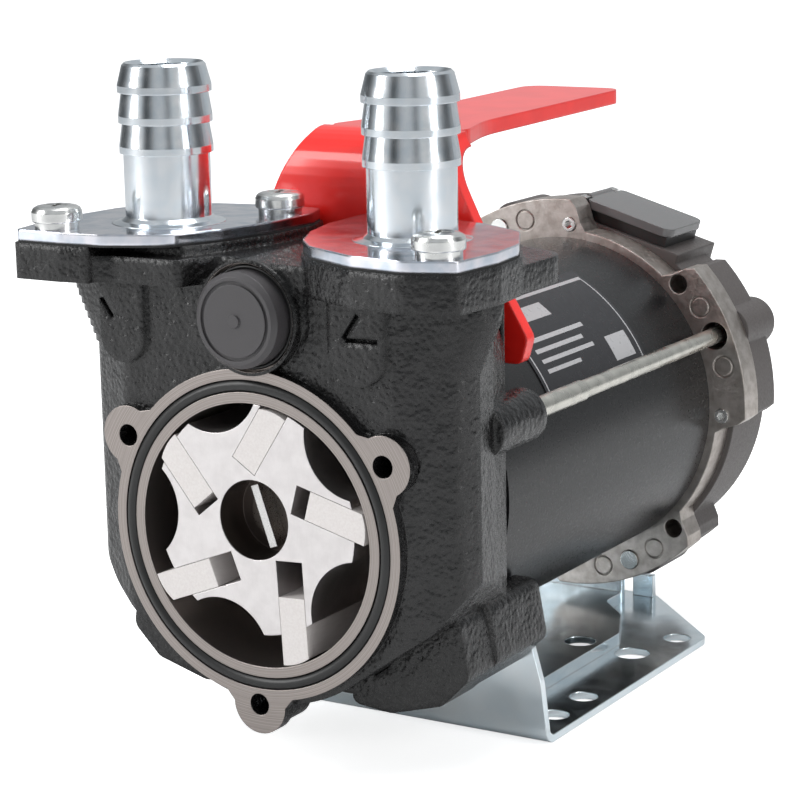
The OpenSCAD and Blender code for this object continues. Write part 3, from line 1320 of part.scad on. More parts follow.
module base_bracket() color([0.78, 0.83, 0.88]) at_front() lift(floor_z) difference() {
    union() {
        difference() {
            linear_extrude(sheet_t) floor_outline();
            lift(-over) linear_extrude(3 * sheet_t) platform_outline(0);
        }
        lift(platform_rise - sheet_t) linear_extrude(sheet_t) platform_outline(sheet_t);
        difference() {
            linear_extrude(platform_rise) platform_outline(sheet_t);
            lift(-over) linear_extrude(platform_rise + 2 * over) platform_outline(0);
        }
        // Front wall with its round foot
        difference() {
            span_y(wall_front, wall_front + sheet_t) polygon(outline([
                [-base_half_w, foot_bend_r, 0], [base_half_w, foot_bend_r, 0],
                for (w = base_half_w * wall_share) w,
                for (i = [len(wall_share) - 1 : -1 : 0]) let(w = base_half_w * wall_share[i]) [-w[0],
                    w[1], w[2]]]));
            lift(chamber_height + axis_rise) disc_y(0, 2 * wall_front,
                motor_r + wall_gap);
        }
        translate([-base_half_w, wall_front + foot_bend_r, foot_bend_r])
            turn_y(90) intersection() {
            difference() {
                cylinder(h = 2 * base_half_w, r = foot_bend_r);
                lift(-over) cylinder(h = 2 * base_half_w + 2 * over,
                    r = foot_bend_r - sheet_t);
            }
            translate([0, -foot_bend_r, 0]) cube([foot_bend_r, foot_bend_r, 2 * base_half_w]);
        }
        // Rear tab, bent up from the platform
        span_y(tab_y, tab_y + sheet_t) polygon(outline([[-tab_w / 2, sheet_t / 2, 0], [tab_w / 2,
            sheet_t / 2, 0],
            [tab_w / 2, chamber_height - tab_top, tab_round], [-tab_w / 2, chamber_height - tab_top,
                tab_round]]));
        // Low wings either side of the tab
        for (s = [-1, 1]) block([s * wing_x - wing_half_w, base_back - wing_set, sheet_t / 2],
            [s * wing_x + wing_half_w, base_back - wing_set + sheet_t, wing_top]);
    }
    for (x = [-1, 1]) {
        for (y = [-corner_hole_y / 2, row_step - corner_hole_y / 2, corner_hole_y / 2])
            bar_z(x * corner_hole_x / 2, origin_y + y, -over, 2 * sheet_t, corner_hole_r);
        bar_z(x * large_hole_x / 2, origin_y + large_hole_y, -over, 2 * sheet_t, large_hole_r);
        bar_z(x * pad_hole_x / 2, origin_y + pad_hole_y, -over, 2 * platform_rise, pad_hole_r);
        bar_y(x * bracket_bolt_x, chamber_height - bracket_bolt_z, wall_front - over,
            wall_front + 2 * sheet_t, bolt_r + bolt_gap);
    }
    bar_y(-screw_circle_r * sin(screw_turn), chamber_height + axis_rise
        - screw_circle_r * cos(screw_turn), tab_y - over, tab_y + 2 * sheet_t, tab_hole_r);
}

bolt_hold = 10;
bolt_head_h = 4;
bolt_head_r = 5.6;
module bracket_bolts() color([0.75, 0.76, 0.76]) at_front() for (s = [-1, 1]) {
    bar_y(s * bracket_bolt_x, -bracket_bolt_z, foot_back - bolt_hold, wall_front + sheet_t + over, bolt_r);
    bar_y(s * bracket_bolt_x, -bracket_bolt_z, wall_front + sheet_t, wall_front + sheet_t + bolt_head_h,
        bolt_head_r, $fn = 6);
}

rear_screw_set = 1;
rear_screw_head_h = 2;
rear_screw_head_r = 3.4;
module bracket_rear_screw() color([0.8, 0.8, 0.76]) at_motor() {
    turn_y(screw_turn)
        bar_y(0, -screw_circle_r, motor_back + rear_screw_set, tab_y + sheet_t + over, flange_screw_r);
    turn_y(screw_turn) bar_y(0, -screw_circle_r, tab_y + sheet_t,
        tab_y + sheet_t + rear_screw_head_h, rear_screw_head_r);
}

pump_body();
front_seal_ring();
rotor();
vane(0);  // vane_1
vane(1);  // vane_2
vane(2);  // vane_3
vane(3);  // vane_4
vane(4);  // vane_5
drive_blade();
drive_shaft();
shaft_seal();
front_bearing_outer();
front_bearing_inner();
front_bearing_balls();
rear_bearing_outer();
rear_bearing_inner();
rear_bearing_balls();
bypass_plug();
bypass_plug_seal();
bypass_poppet();
bypass_spring();
body_gasket();
motor_adapter();
outlet_gasket();
inlet_gasket();
outlet_flange_plate();
inlet_flange_plate();
outlet_hose_tail();
inlet_hose_tail();
port_screws();
port_spring_washers();
carry_handle();
handle_screws();
motor_casing();
motor_label();
field_magnets();
armature_core();
armature_windings();
commutator();
brush_plate();
brush_holders();
brushes();
brush_springs();
rear_flange();
flange_screws();
tie_rods();
tie_rod_nuts();
rear_cover();
cover_screws();
switch_body();
switch_gasket();
switch_rocker();
switch_flap();
flap_pin();
cable_gland();
base_bracket();
bracket_bolts();
bracket_rear_screw();
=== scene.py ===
import math

import bpy
from mathutils import Matrix, Vector


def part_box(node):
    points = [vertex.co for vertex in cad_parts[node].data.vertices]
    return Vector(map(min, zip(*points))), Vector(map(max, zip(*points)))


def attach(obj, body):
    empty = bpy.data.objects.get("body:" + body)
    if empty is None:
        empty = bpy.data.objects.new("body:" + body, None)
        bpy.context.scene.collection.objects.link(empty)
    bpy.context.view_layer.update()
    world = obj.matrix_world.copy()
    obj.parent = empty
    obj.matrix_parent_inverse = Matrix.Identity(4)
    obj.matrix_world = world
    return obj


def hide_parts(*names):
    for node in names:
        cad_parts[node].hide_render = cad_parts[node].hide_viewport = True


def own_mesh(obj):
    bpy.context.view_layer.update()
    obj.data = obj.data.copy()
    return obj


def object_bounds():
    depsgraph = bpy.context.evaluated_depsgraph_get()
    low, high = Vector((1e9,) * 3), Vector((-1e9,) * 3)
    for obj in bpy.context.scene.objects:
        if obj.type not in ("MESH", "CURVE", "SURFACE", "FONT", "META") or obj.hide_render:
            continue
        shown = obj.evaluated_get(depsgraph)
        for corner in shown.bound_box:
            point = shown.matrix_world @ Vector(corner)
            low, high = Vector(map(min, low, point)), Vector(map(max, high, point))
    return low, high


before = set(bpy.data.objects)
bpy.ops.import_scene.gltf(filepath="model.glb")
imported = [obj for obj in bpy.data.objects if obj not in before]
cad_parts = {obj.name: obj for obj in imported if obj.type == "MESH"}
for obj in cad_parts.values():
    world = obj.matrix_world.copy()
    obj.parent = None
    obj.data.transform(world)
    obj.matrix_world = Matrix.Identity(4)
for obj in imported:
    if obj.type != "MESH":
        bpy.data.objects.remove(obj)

cad_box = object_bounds()
scene = bpy.context.scene
mm = 0.001

# The camera stands in front of the pump, to its right and a little above it, with a long lens.
# It leans a degree, as the hand-held one did.
IMAGE_PIXELS = 800
SENSOR_MM = 36.0
FOCAL_PIXELS = 2557.8
CAMERA_PLACE = (312.70 * mm, -547.21 * mm, 205.73 * mm)
CAMERA_AZIMUTH = math.radians(31.41)
CAMERA_ELEVATION = math.radians(12.42)
CAMERA_ROLL = math.radians(-1.10)
CENTRE_PIXEL = (405.18, 406.04)
NEAREST_SEEN = 0.01


def camera_axes(azimuth, elevation, roll):
    """The camera's right, up and back directions for an azimuth, elevation and roll."""
    right = Vector((math.cos(azimuth), math.sin(azimuth), 0))
    ahead = Vector((-math.sin(azimuth) * math.cos(elevation), math.cos(azimuth) * math.cos(elevation),
                    -math.sin(elevation)))
    up = right.cross(ahead)
    rolled_right = right * math.cos(roll) + up * math.sin(roll)
    rolled_up = up * math.cos(roll) - right * math.sin(roll)
    return rolled_right, rolled_up, -ahead


camera_data = bpy.data.cameras.new("camera")
camera_data.sensor_width = SENSOR_MM
camera_data.lens = FOCAL_PIXELS / IMAGE_PIXELS * SENSOR_MM
camera_data.shift_x = (IMAGE_PIXELS / 2 - CENTRE_PIXEL[0]) / IMAGE_PIXELS
camera_data.shift_y = (CENTRE_PIXEL[1] - IMAGE_PIXELS / 2) / IMAGE_PIXELS
camera_data.clip_start = NEAREST_SEEN
camera = bpy.data.objects.new("camera", camera_data)
camera_turn = Matrix(camera_axes(CAMERA_AZIMUTH, CAMERA_ELEVATION, CAMERA_ROLL)).transposed()
camera.matrix_world = Matrix.Translation(CAMERA_PLACE) @ camera_turn.to_4x4()
scene.collection.objects.link(camera)
scene.camera = camera

# The studio: two soft boxes and a top light over a white floor, in a pale room. Dark panels stand upright
# round its walls, and they give the plated metal its streaks.
scene.view_settings.view_transform = "Standard"
# Each lamp's name, its place, what it is turned to, its size across and up, and its watts
LAMPS = [("left_box", (-0.75, -0.75, 0.62), (0, -0.05, 0.08), (0.30, 0.9), 7.5),
         ("right_box", (1.0, -0.12, 0.45), (0, -0.02, 0.08), (0.25, 0.8), 3.0),
         ("top_box", (0.1, 0.15, 1.1), (0, 0, 0.1), (0.6, 0.6), 7)]
ROOM_STRENGTH = 0.55
# Stops round the walls: azimuth in degrees, with 0 at the front and positive to the right, and brightness
WALL_STOPS = [(-180, 0.95), (-150, 1.1), (-128, 0.5), (-100, 0.10), (-78, 0.16), (-62, 1.1), (-30, 1.3),
              (-20, 0.30), (-12, 0.07), (-3, 0.25), (8, 0.85), (30, 1.0), (40, 0.42), (46, 0.38), (56, 1.1),
              (92, 1.25), (112, 0.35), (128, 0.12), (142, 0.5), (162, 1.05), (180, 0.95)]
WALL_TINT = (0.93, 0.97, 1.0)
PANEL_TOP = 0.72
PANEL_FADE = 0.45


def soft_box(name, place, target, size, watts):
    """An area lamp at a place, turned to a target, with its size across and up."""
    lamp = bpy.data.lights.new(name, "AREA")
    lamp.shape = "RECTANGLE"
    lamp.size, lamp.size_y = size
    lamp.energy = watts
    box = bpy.data.objects.new(name, lamp)
    box.location = place
    box.rotation_euler = (Vector(target) - Vector(place)).to_track_quat("-Z", "Y").to_euler()
    scene.collection.objects.link(box)


for lamp_values in LAMPS:
    soft_box(*lamp_values)

room = bpy.data.worlds.new("room")
room.use_nodes = True
scene.world = room
room_tree = room.node_tree
room_tree.nodes.clear()


def wire(tree, kind, inputs=None, **settings):
    """A shader node with its settings, its plain input values and its incoming links."""
    node = tree.nodes.new(kind)
    for key, value in settings.items():
        setattr(node, key, value)
    for key, value in (inputs or {}).items():
        if isinstance(value, bpy.types.NodeSocket):
            tree.links.new(value, node.inputs[key])
        else:
            node.inputs[key].default_value = value
    return node


direction = wire(room_tree, "ShaderNodeTexCoord")
heading = wire(room_tree, "ShaderNodeSeparateXYZ", {0: direction.outputs["Generated"]})
front = wire(room_tree, "ShaderNodeMath", {0: heading.outputs["Y"], 1: -1.0}, operation="MULTIPLY")
azimuth = wire(room_tree, "ShaderNodeMath", {0: heading.outputs["X"], 1: front.outputs[0]},
               operation="ARCTAN2")
turn = wire(room_tree, "ShaderNodeMapRange", {"Value": azimuth.outputs[0], "From Min": -math.pi,
                                              "From Max": math.pi})
strips = wire(room_tree, "ShaderNodeValToRGB", {"Fac": turn.outputs["Result"]})
strips.color_ramp.interpolation = "B_SPLINE"
stops = strips.color_ramp.elements
for number, (degrees, level) in enumerate(WALL_STOPS):
    place = (degrees + 180) / 360
    if number == 0:
        stop = stops[0]
    elif number == len(WALL_STOPS) - 1:
        stop = stops[-1]
    else:
        stop = stops.new(place)
    stop.position = place
    stop.color = (*(level * tint for tint in WALL_TINT), 1)
# Above the panels the ceiling is evenly pale
rise = wire(room_tree, "ShaderNodeMapRange", {"Value": heading.outputs["Z"], "From Min": PANEL_FADE,
                                              "From Max": PANEL_TOP}, interpolation_type="SMOOTHSTEP")
walls = wire(room_tree, "ShaderNodeMix", {"Factor": rise.outputs["Result"], "A": strips.outputs["Color"],
                                          "B": (*WALL_TINT, 1)}, data_type="RGBA")
room_light = wire(room_tree, "ShaderNodeBackground", {"Color": walls.outputs["Result"],
                                                      "Strength": ROOM_STRENGTH})
room_white = wire(room_tree, "ShaderNodeBackground", {"Color": (1, 1, 1, 1), "Strength": 1.0})
ray = wire(room_tree, "ShaderNodeLightPath")
room_mix = wire(room_tree, "ShaderNodeMixShader", {"Fac": ray.outputs["Is Camera Ray"],
                                                   1: room_light.outputs[0], 2: room_white.outputs[0]})
wire(room_tree, "ShaderNodeOutputWorld", {"Surface": room_mix.outputs[0]})

# The floor is one wide matt white sheet that keeps the pump's shadow. It is lifted to white only where
# the camera looks straight at it, so it adds no light to the pump.
FLOOR_HALF = 3.0
FLOOR_GAP = 0.2 * mm
FLOOR_WHITE = 0.9
FLOOR_GLOW = 0.7
floor_mesh = bpy.data.meshes.new("floor")
floor_mesh.from_pydata([(-FLOOR_HALF, -FLOOR_HALF, 0), (FLOOR_HALF, -FLOOR_HALF, 0),
                        (FLOOR_HALF, FLOOR_HALF, 0), (-FLOOR_HALF, FLOOR_HALF, 0)], [], [(0, 1, 2, 3)])
floor = bpy.data.objects.new("floor", floor_mesh)
scene.collection.objects.link(floor)
floor_paint = bpy.data.materials.new("floor_paint")
floor_paint.use_nodes = True
floor_tree = floor_paint.node_tree
floor_tree.nodes.clear()
floor_matt = wire(floor_tree, "ShaderNodeBsdfDiffuse", {"Color": (FLOOR_WHITE, FLOOR_WHITE, FLOOR_WHITE, 1)})
floor_ray = wire(floor_tree, "ShaderNodeLightPath")
floor_lift = wire(floor_tree, "ShaderNodeMath", {0: floor_ray.outputs["Is Camera Ray"], 1: FLOOR_GLOW},
                  operation="MULTIPLY")
floor_glow = wire(floor_tree, "ShaderNodeEmission", {"Color": (1, 1, 1, 1),
                                                     "Strength": floor_lift.outputs[0]})
floor_mix = wire(floor_tree, "ShaderNodeAddShader", {0: floor_matt.outputs[0], 1: floor_glow.outputs[0]})
wire(floor_tree, "ShaderNodeOutputMaterial", {"Surface": floor_mix.outputs[0]})
floor.data.materials.append(floor_paint)
floor.location.z = cad_box[0][2] - FLOOR_GAP

# The pump body is one iron casting, painted black before its front ring, bores and seats were machined bare.
# Its rough skin is that of the sand mould, and the ring keeps the fine rings of the turning tool.
CHAMBER_Z = 57 * mm
FRONT_FACE_Y = -100 * mm
FACE_DEPTH = 0.05 * mm
GROOVE_OUTER_R = 35.4 * mm
RING_TOP_Z = 94.8 * mm
RECESS_Z = 106 * mm
RECESS_R = 12.1 * mm
# Edges are sharp on the machined ring and go over to cast ones between these radii
MACHINED_EDGE = 0.3 * mm
MACHINED_R = 46 * mm
CAST_EDGE = 2.0 * mm
CAST_R = 49 * mm
TOOL_MARKS = 4000.0
BLACK_PAINT = (0.015, 0.0145, 0.0145)
BLACK_PAINT_LOW = (0.0045, 0.0043, 0.0045)
BLACK_PAINT_HIGH = (0.011, 0.0105, 0.0108)
BARE_IRON_LOW = (0.27, 0.24, 0.225)
BARE_IRON_HIGH = (0.38, 0.34, 0.32)
SWELL_SIZE = 5 * mm
SAND_GRAIN = 1.1 * mm
GRIT_SIZE = 0.45 * mm


class Finish:
    """A material built up in steps on one Principled shader, in the object's own coordinates."""

    def __init__(self, name, colour, roughness, metallic=0.0, **sockets):
        self.material = bpy.data.materials.new(name)
        self.material.use_nodes = True
        self.tree = self.material.node_tree
        self.shader = self.tree.nodes["Principled BSDF"]
        self.place = wire(self.tree, "ShaderNodeTexCoord").outputs["Object"]
        self.set("Base Color", (*colour, 1))
        self.set("Roughness", roughness)
        self.set("Metallic", metallic)
        for key, value in sockets.items():
            self.set(key.replace("_", " "), value)
        self.relief = None

    def set(self, socket, value):
        """A plain value or a link on one of the shader's sockets."""
        if isinstance(value, bpy.types.NodeSocket):
            self.tree.links.new(value, self.shader.inputs[socket])
        else:
            self.shader.inputs[socket].default_value = value

    def add(self, kind, inputs=None, **settings):
        """A node of this material."""
        return wire(self.tree, kind, inputs, **settings)

    def math(self, operation, a, b=0.0):
        """A sum on shader values."""
        return self.add("ShaderNodeMath", {0: a, 1: b}, operation=operation).outputs[0]

    def part(self, axis):
        """One coordinate of the place on the surface."""
        return self.add("ShaderNodeSeparateXYZ", {0: self.place}).outputs[axis]

    def noise(self, size, detail=4.0, stretch=(1, 1, 1)):
        """Cloudy noise whose features are about a size across, drawn out along an axis by its stretch."""
        scaled = self.add("ShaderNodeVectorMath", {0: self.place, 1: tuple(1 / (size * s) for s in stretch)},
                          operation="MULTIPLY").outputs[0]
        return self.add("ShaderNodeTexNoise", {"Vector": scaled, "Scale": 1.0, "Detail": detail}).outputs[0]

    def between(self, value, low, high, start=0.35, end=0.65):
        """A value spread from one number to another."""
        return self.add("ShaderNodeMapRange", {"Value": value, "From Min": start, "From Max": end,
                                               "To Min": low, "To Max": high}).outputs[0]

    def blend(self, share, a, b):
        """One colour going over into another."""
        ends = [end if isinstance(end, bpy.types.NodeSocket) else (*end, 1) for end in (a, b)]
        return self.add("ShaderNodeMix", {"Factor": share, "A": ends[0], "B": ends[1]},
                        data_type="RGBA").outputs["Result"]

    def clouded(self, cloud, low, high):
        """A base colour that goes over from one to another with a noise."""
        self.set("Base Color", self.blend(self.between(cloud, 0, 1), low, high))

    def satin(self, cloud, low, high):
        """A roughness that goes from one number to another with a noise."""
        self.set("Roughness", self.between(cloud, low, high))

    def bump(self, height, depth, strength):
        """Relief of a depth in metres, over any relief set before."""
        inputs = {"Height": height, "Distance": depth, "Strength": strength}
        if self.relief is not None:
            inputs["Normal"] = self.relief
        self.relief = self.add("ShaderNodeBump", inputs).outputs[0]
        self.set("Normal", self.relief)

    def rounded(self, radius):
        """Edges that catch the light as if they were rounded, by a radius or a shader value of it."""
        self.relief = self.add("ShaderNodeBevel", {"Radius": radius}, samples=6).outputs[0]
        self.set("Normal", self.relief)


def from_axis(finish, x, z):
    """Distance from a line along Y, as a shader value."""
    dx = finish.math("SUBTRACT", finish.part("X"), x)
    dz = finish.math("SUBTRACT", finish.part("Z"), z)
    squares = finish.math("ADD", finish.math("MULTIPLY", dx, dx), finish.math("MULTIPLY", dz, dz))
    return finish.math("SQRT", squares)


def cast_skin(finish, painted=None):
    """The sparkling painted skin of a sand casting: sand grains, pits and low swells, where it is painted."""
    swells = finish.noise(SWELL_SIZE, detail=2.0)
    sand = finish.add("ShaderNodeTexVoronoi", {"Vector": finish.place, "Scale": 1 / SAND_GRAIN},
                      feature="SMOOTH_F1").outputs["Distance"]
    grit = finish.noise(GRIT_SIZE, detail=3.0)
    gloss = finish.between(grit, low=0.18, high=0.36)
    paint = finish.blend(finish.between(swells, 0, 1), BLACK_PAINT_LOW, BLACK_PAINT_HIGH)
    for height, depth, strength in ((swells, 0.8 * mm, 0.6), (sand, 0.26 * mm, 0.8), (grit, 0.10 * mm, 0.7)):
        finish.bump(finish.math("MULTIPLY", height, painted) if painted else height, depth, strength)
    return paint, gloss


def dress(finish, *names):
    """Gives CAD nodes their finish."""
    for name in names:
        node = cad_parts[name]
        if not node.material_slots:
            node.data.materials.append(finish.material)
        for slot in node.material_slots:
            slot.material = finish.material


body_finish = Finish("black_cast", BLACK_PAINT, roughness=0.42, Specular_IOR_Level=0.5)
distance = from_axis(body_finish, 0, CHAMBER_Z)
# Bare iron: the ring's front face, everything inside the seal groove, and the plug's recess
on_face = body_finish.math("COMPARE", body_finish.part("Y"), FRONT_FACE_Y)
on_face.node.inputs[2].default_value = FACE_DEPTH
below_top = body_finish.math("LESS_THAN", body_finish.part("Z"), RING_TOP_Z)
in_bore = body_finish.math("LESS_THAN", distance, GROOVE_OUTER_R)
in_recess = body_finish.math("LESS_THAN", from_axis(body_finish, 0, RECESS_Z), RECESS_R)
bare = body_finish.math("MAXIMUM", body_finish.math("MULTIPLY", on_face, below_top), in_bore)
bare = body_finish.math("MAXIMUM", bare, in_recess)
near_ring = body_finish.between(distance, 0, 1, start=MACHINED_R, end=CAST_R)
body_finish.rounded(body_finish.between(near_ring, MACHINED_EDGE, CAST_EDGE, start=0, end=1))
tool_marks = body_finish.add("ShaderNodeTexNoise", {"W": body_finish.math("MULTIPLY", distance, TOOL_MARKS),
                                                    "Scale": 1.0}, noise_dimensions="1D").outputs[0]
paint, gloss = cast_skin(body_finish, body_finish.math("SUBTRACT", 1.0, bare))
iron = body_finish.blend(body_finish.between(tool_marks, 0, 1), BARE_IRON_LOW, BARE_IRON_HIGH)
iron_gloss = body_finish.between(tool_marks, low=0.30, high=0.42)
body_finish.set("Base Color", body_finish.blend(bare, paint, iron))
body_finish.set("Metallic", bare)
body_finish.set("Roughness", body_finish.add("ShaderNodeMix", {"Factor": bare, "A": gloss,
                                                               "B": iron_gloss}).outputs[0])
dress(body_finish, "pump_body")

# The rear casting carries the motor and stands on two cast feet. It comes from the same kind of sand
# mould, and has the same black paint all over.
adapter_finish = Finish("black_cast_rear", BLACK_PAINT, roughness=0.42, Specular_IOR_Level=0.5)
adapter_finish.rounded(CAST_EDGE)
paint, gloss = cast_skin(adapter_finish)
adapter_finish.set("Base Color", paint)
adapter_finish.set("Roughness", gloss)
dress(adapter_finish, "motor_adapter")

# The seals are black rubber: an O-ring in the front groove, a smaller one behind the plug, the shaft's
# lip seal, and the soft frame under the switch flap.
rubber = Finish("black_rubber", (0.012, 0.012, 0.012), roughness=0.38)
rubber.bump(rubber.noise(0.5 * mm), depth=0.05 * mm, strength=0.5)
dress(rubber, "front_seal_ring", "bypass_plug_seal", "shaft_seal", "switch_gasket")

# The joint gaskets are punched from thin black fibre sheet. One lies between the two castings,
# and one under each flange plate.
sheet = Finish("gasket_sheet", (0.02, 0.02, 0.02), roughness=0.7)
sheet.bump(sheet.noise(0.4 * mm), depth=0.08 * mm, strength=0.6)
dress(sheet, "body_gasket", "outlet_gasket", "inlet_gasket")

# The rotor is a sintered steel block, keyed on the shaft, with its two faces ground bright.
# The step in its hub is coloured dark as painted shade in the recess.
ROTOR_Z = 60.7 * mm
HUB_R = 9.4 * mm
HUB_STEP = 0.3 * mm
GROUND_STEEL_LOW = (0.66, 0.63, 0.625)
GROUND_STEEL_HIGH = (0.72, 0.69, 0.685)
HUB_SHADE_DARK = (0.13, 0.11, 0.10)
rotor_finish = Finish("rotor_steel", (0.62, 0.59, 0.585), roughness=0.34, metallic=1.0)
rotor_finish.rounded(0.25 * mm)
scratches = rotor_finish.noise(0.25 * mm, detail=3.0, stretch=(1, 1, 14))
mottle = rotor_finish.between(rotor_finish.noise(3 * mm, detail=5.0), 0, 1)
ground = rotor_finish.blend(mottle, GROUND_STEEL_LOW, GROUND_STEEL_HIGH)
# Painted shade: the hub's recessed step behind the ground face is given a dark steel colour
in_hub = rotor_finish.math("LESS_THAN", from_axis(rotor_finish, 0, ROTOR_Z), HUB_R)
behind = rotor_finish.math("GREATER_THAN", rotor_finish.part("Y"), FRONT_FACE_Y + HUB_STEP)
hub_shade = rotor_finish.math("MULTIPLY", in_hub, behind)
rotor_finish.set("Base Color", rotor_finish.blend(hub_shade, ground, HUB_SHADE_DARK))
rotor_finish.satin(scratches, low=0.30, high=0.46)
rotor_finish.bump(scratches, depth=0.03 * mm, strength=0.35)
dress(rotor_finish, "rotor")

# Five vanes of pale hard plastic slide in the rotor's slots, and the chamber wall pushes them in
# and out as the rotor turns.
vane_finish = Finish("ivory_vane", (0.80, 0.77, 0.72), roughness=0.36, Specular_IOR_Level=0.5)
vane_finish.rounded(0.2 * mm)
vane_grain = vane_finish.noise(0.5 * mm, stretch=(1, 6, 1))
vane_finish.clouded(vane_grain, low=(0.72, 0.675, 0.655), high=(0.77, 0.73, 0.71))
vane_finish.bump(vane_grain, depth=0.02 * mm, strength=0.25)
dress(vane_finish, *(f"vane_{number}" for number in range(1, 6)))

# The drive blade, the poppet and the flap's pin are turned and ground from bright steel bar.
# The shaft behind the rotor is the same steel, coloured dark.
turned = Finish("turned_steel", (0.62, 0.61, 0.60), roughness=0.28, metallic=1.0)
turned.rounded(0.2 * mm)
turned.satin(turned.noise(0.3 * mm, detail=3.0), low=0.22, high=0.4)
dress(turned, "drive_blade", "bypass_poppet", "flap_pin")
# The shaft's steel is given a dark colour
dark_shaft = Finish("dark_shaft_steel", (0.16, 0.14, 0.125), roughness=0.34, metallic=1.0)
dark_shaft.rounded(0.3 * mm)
dark_shaft.satin(dark_shaft.noise(0.4 * mm, detail=3.0), low=0.26, high=0.46)
dress(dark_shaft, "drive_shaft")

# A ball bearing behind the pump chamber and one in the rear flange carry the shaft.
# Their rings and balls are polished steel.
bearing = Finish("bearing_steel", (0.70, 0.70, 0.71), roughness=0.12, metallic=1.0)
bearing.satin(bearing.noise(1.5 * mm), low=0.08, high=0.18)
for end in ("front", "rear"):
    dress(bearing, f"{end}_bearing_outer", f"{end}_bearing_inner", f"{end}_bearing_balls")

# The bypass plug is a round moulded cap of dark plastic, pressed into its boss over the spring.
# Its face is plain but for a small round mark in the middle.
plug_finish = Finish("plug_plastic", (0.062, 0.058, 0.061), roughness=0.42)
plug_finish.rounded(0.3 * mm)
plug_grain = plug_finish.noise(0.35 * mm)
plug_finish.satin(plug_grain, low=0.36, high=0.5)
plug_finish.bump(plug_grain, depth=0.05 * mm, strength=0.5)
dress(plug_finish, "bypass_plug")

# The coil springs behind the bypass plug and the brushes are wound from drawn steel wire and left bare.
# In the pump the valve's spring shortens as the poppet lifts, with its front end held still by the plug; here
# it is copied to a mesh of its own, held to the housing, and keeps its length.
spring = Finish("spring_wire", (0.55, 0.55, 0.56), roughness=0.3, metallic=1.0)
spring.satin(spring.noise(0.6 * mm), low=0.24, high=0.4)
dress(spring, "bypass_spring", "brush_springs")
valve_coil = bpy.data.objects.new("valve_coil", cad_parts["bypass_spring"].data.copy())
valve_coil.matrix_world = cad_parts["bypass_spring"].matrix_world.copy()
scene.collection.objects.link(valve_coil)
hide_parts("bypass_spring")
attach(valve_coil, "housing")
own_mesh(valve_coil)

# The hose tails are turned from steel bar and zinc plated. The flange plates that hold them down
# are punched from sheet and plated a little greyer.
PLATE_RIPPLE = 3.5 * mm
GLOSS_CLOUD = 6 * mm


def zinc(name, low, high, rough_low, rough_high, spangle=3.0 * mm, edge=0.2 * mm):
    """Bright zinc plate: bluish, a little cloudy, with a soft ripple."""
    finish = Finish(name, low, rough_low, metallic=1.0)
    finish.rounded(edge)
    finish.clouded(finish.noise(spangle), low, high)
    finish.satin(finish.noise(GLOSS_CLOUD, detail=3.0), rough_low, rough_high)
    finish.bump(finish.noise(PLATE_RIPPLE, detail=2.0), depth=0.04 * mm, strength=0.2)
    return finish


tail_finish = zinc("zinc_tails", low=(0.74, 0.80, 0.85), high=(0.84, 0.87, 0.90), rough_low=0.12,
                   rough_high=0.22)
dress(tail_finish, "outlet_hose_tail", "inlet_hose_tail")
plate_finish = zinc("zinc_plates", low=(0.52, 0.58, 0.66), high=(0.76, 0.75, 0.80), rough_low=0.10,
                    rough_high=0.20, spangle=5 * mm, edge=0.7 * mm)
dress(plate_finish, "outlet_flange_plate", "inlet_flange_plate")

# Pan head screws with spring washers hold the ports. They and the other small screws are
# bright zinc plated steel.
screw_finish = zinc("zinc_screws", low=(0.74, 0.74, 0.73), high=(0.84, 0.84, 0.82), rough_low=0.16,
                    rough_high=0.3)
dress(screw_finish, "port_screws", "port_spring_washers", "handle_screws", "bracket_bolts",
      "bracket_rear_screw", "flange_screws", "cover_screws")

# The carrying handle is one strip of steel, bent twice, screwed to the rear casting and dipped
# in thick glossy red.
red_finish = Finish("red_dip", (0.86, 0.018, 0.012), roughness=0.30, Coat_Weight=0.4, Coat_Roughness=0.12,
                    Coat_IOR=1.45)
red_finish.rounded(1.0 * mm)
dip_ripple = red_finish.noise(9 * mm, detail=2.0)
red_finish.clouded(dip_ripple, low=(0.82, 0.014, 0.010), high=(0.90, 0.020, 0.014))
red_finish.bump(dip_ripple, depth=0.25 * mm, strength=0.3)
dress(red_finish, "carry_handle")

# The motor casing is a plain drawn steel tube in satin black paint. The rods clamp it
# between the rear casting and the flange.
barrel_finish = Finish("barrel_paint", (0.008, 0.008, 0.0085), roughness=0.30, Specular_IOR_Level=0.45)
barrel_grain = barrel_finish.noise(0.7 * mm)
barrel_finish.satin(barrel_grain, low=0.26, high=0.36)
barrel_finish.bump(barrel_grain, depth=0.05 * mm, strength=0.4)
dress(barrel_finish, "motor_casing")

# A dark printed film is stuck round the casing's right side. It has a thin border and plain bars,
# and no words.
FILM_DARK = (0.018, 0.018, 0.021)
FILM_PRINT = (0.42, 0.42, 0.43)
FILM_MARGIN = 1.2 * mm
FILM_LINE = 0.5 * mm
# Each bar's front and back end as shares of the film's length, and its foot and top of the film's height
FILM_BARS = [(0.10, 0.46, 0.74, 0.86), (0.10, 0.62, 0.56, 0.60), (0.10, 0.55, 0.46, 0.50),
             (0.10, 0.60, 0.36, 0.40), (0.10, 0.42, 0.26, 0.30), (0.72, 0.92, 0.14, 0.40)]
film_low, film_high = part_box("motor_label")
film_long, film_tall = film_high[1] - film_low[1], film_high[2] - film_low[2]
film_finish = Finish("label_film", FILM_DARK, roughness=0.3)
film_y, film_z = film_finish.part("Y"), film_finish.part("Z")


def film_patch(y_from, y_to, z_from, z_to):
    """1 inside a patch of the film, and 0 outside."""
    along = film_finish.math("MULTIPLY", film_finish.math("GREATER_THAN", film_y, y_from),
                             film_finish.math("LESS_THAN", film_y, y_to))
    upright = film_finish.math("MULTIPLY", film_finish.math("GREATER_THAN", film_z, z_from),
                               film_finish.math("LESS_THAN", film_z, z_to))
    return film_finish.math("MULTIPLY", along, upright)


def film_inside(margin):
    """1 inside a margin all round the film, and 0 outside."""
    return film_patch(film_low[1] + margin, film_high[1] - margin,
                      film_low[2] + margin, film_high[2] - margin)


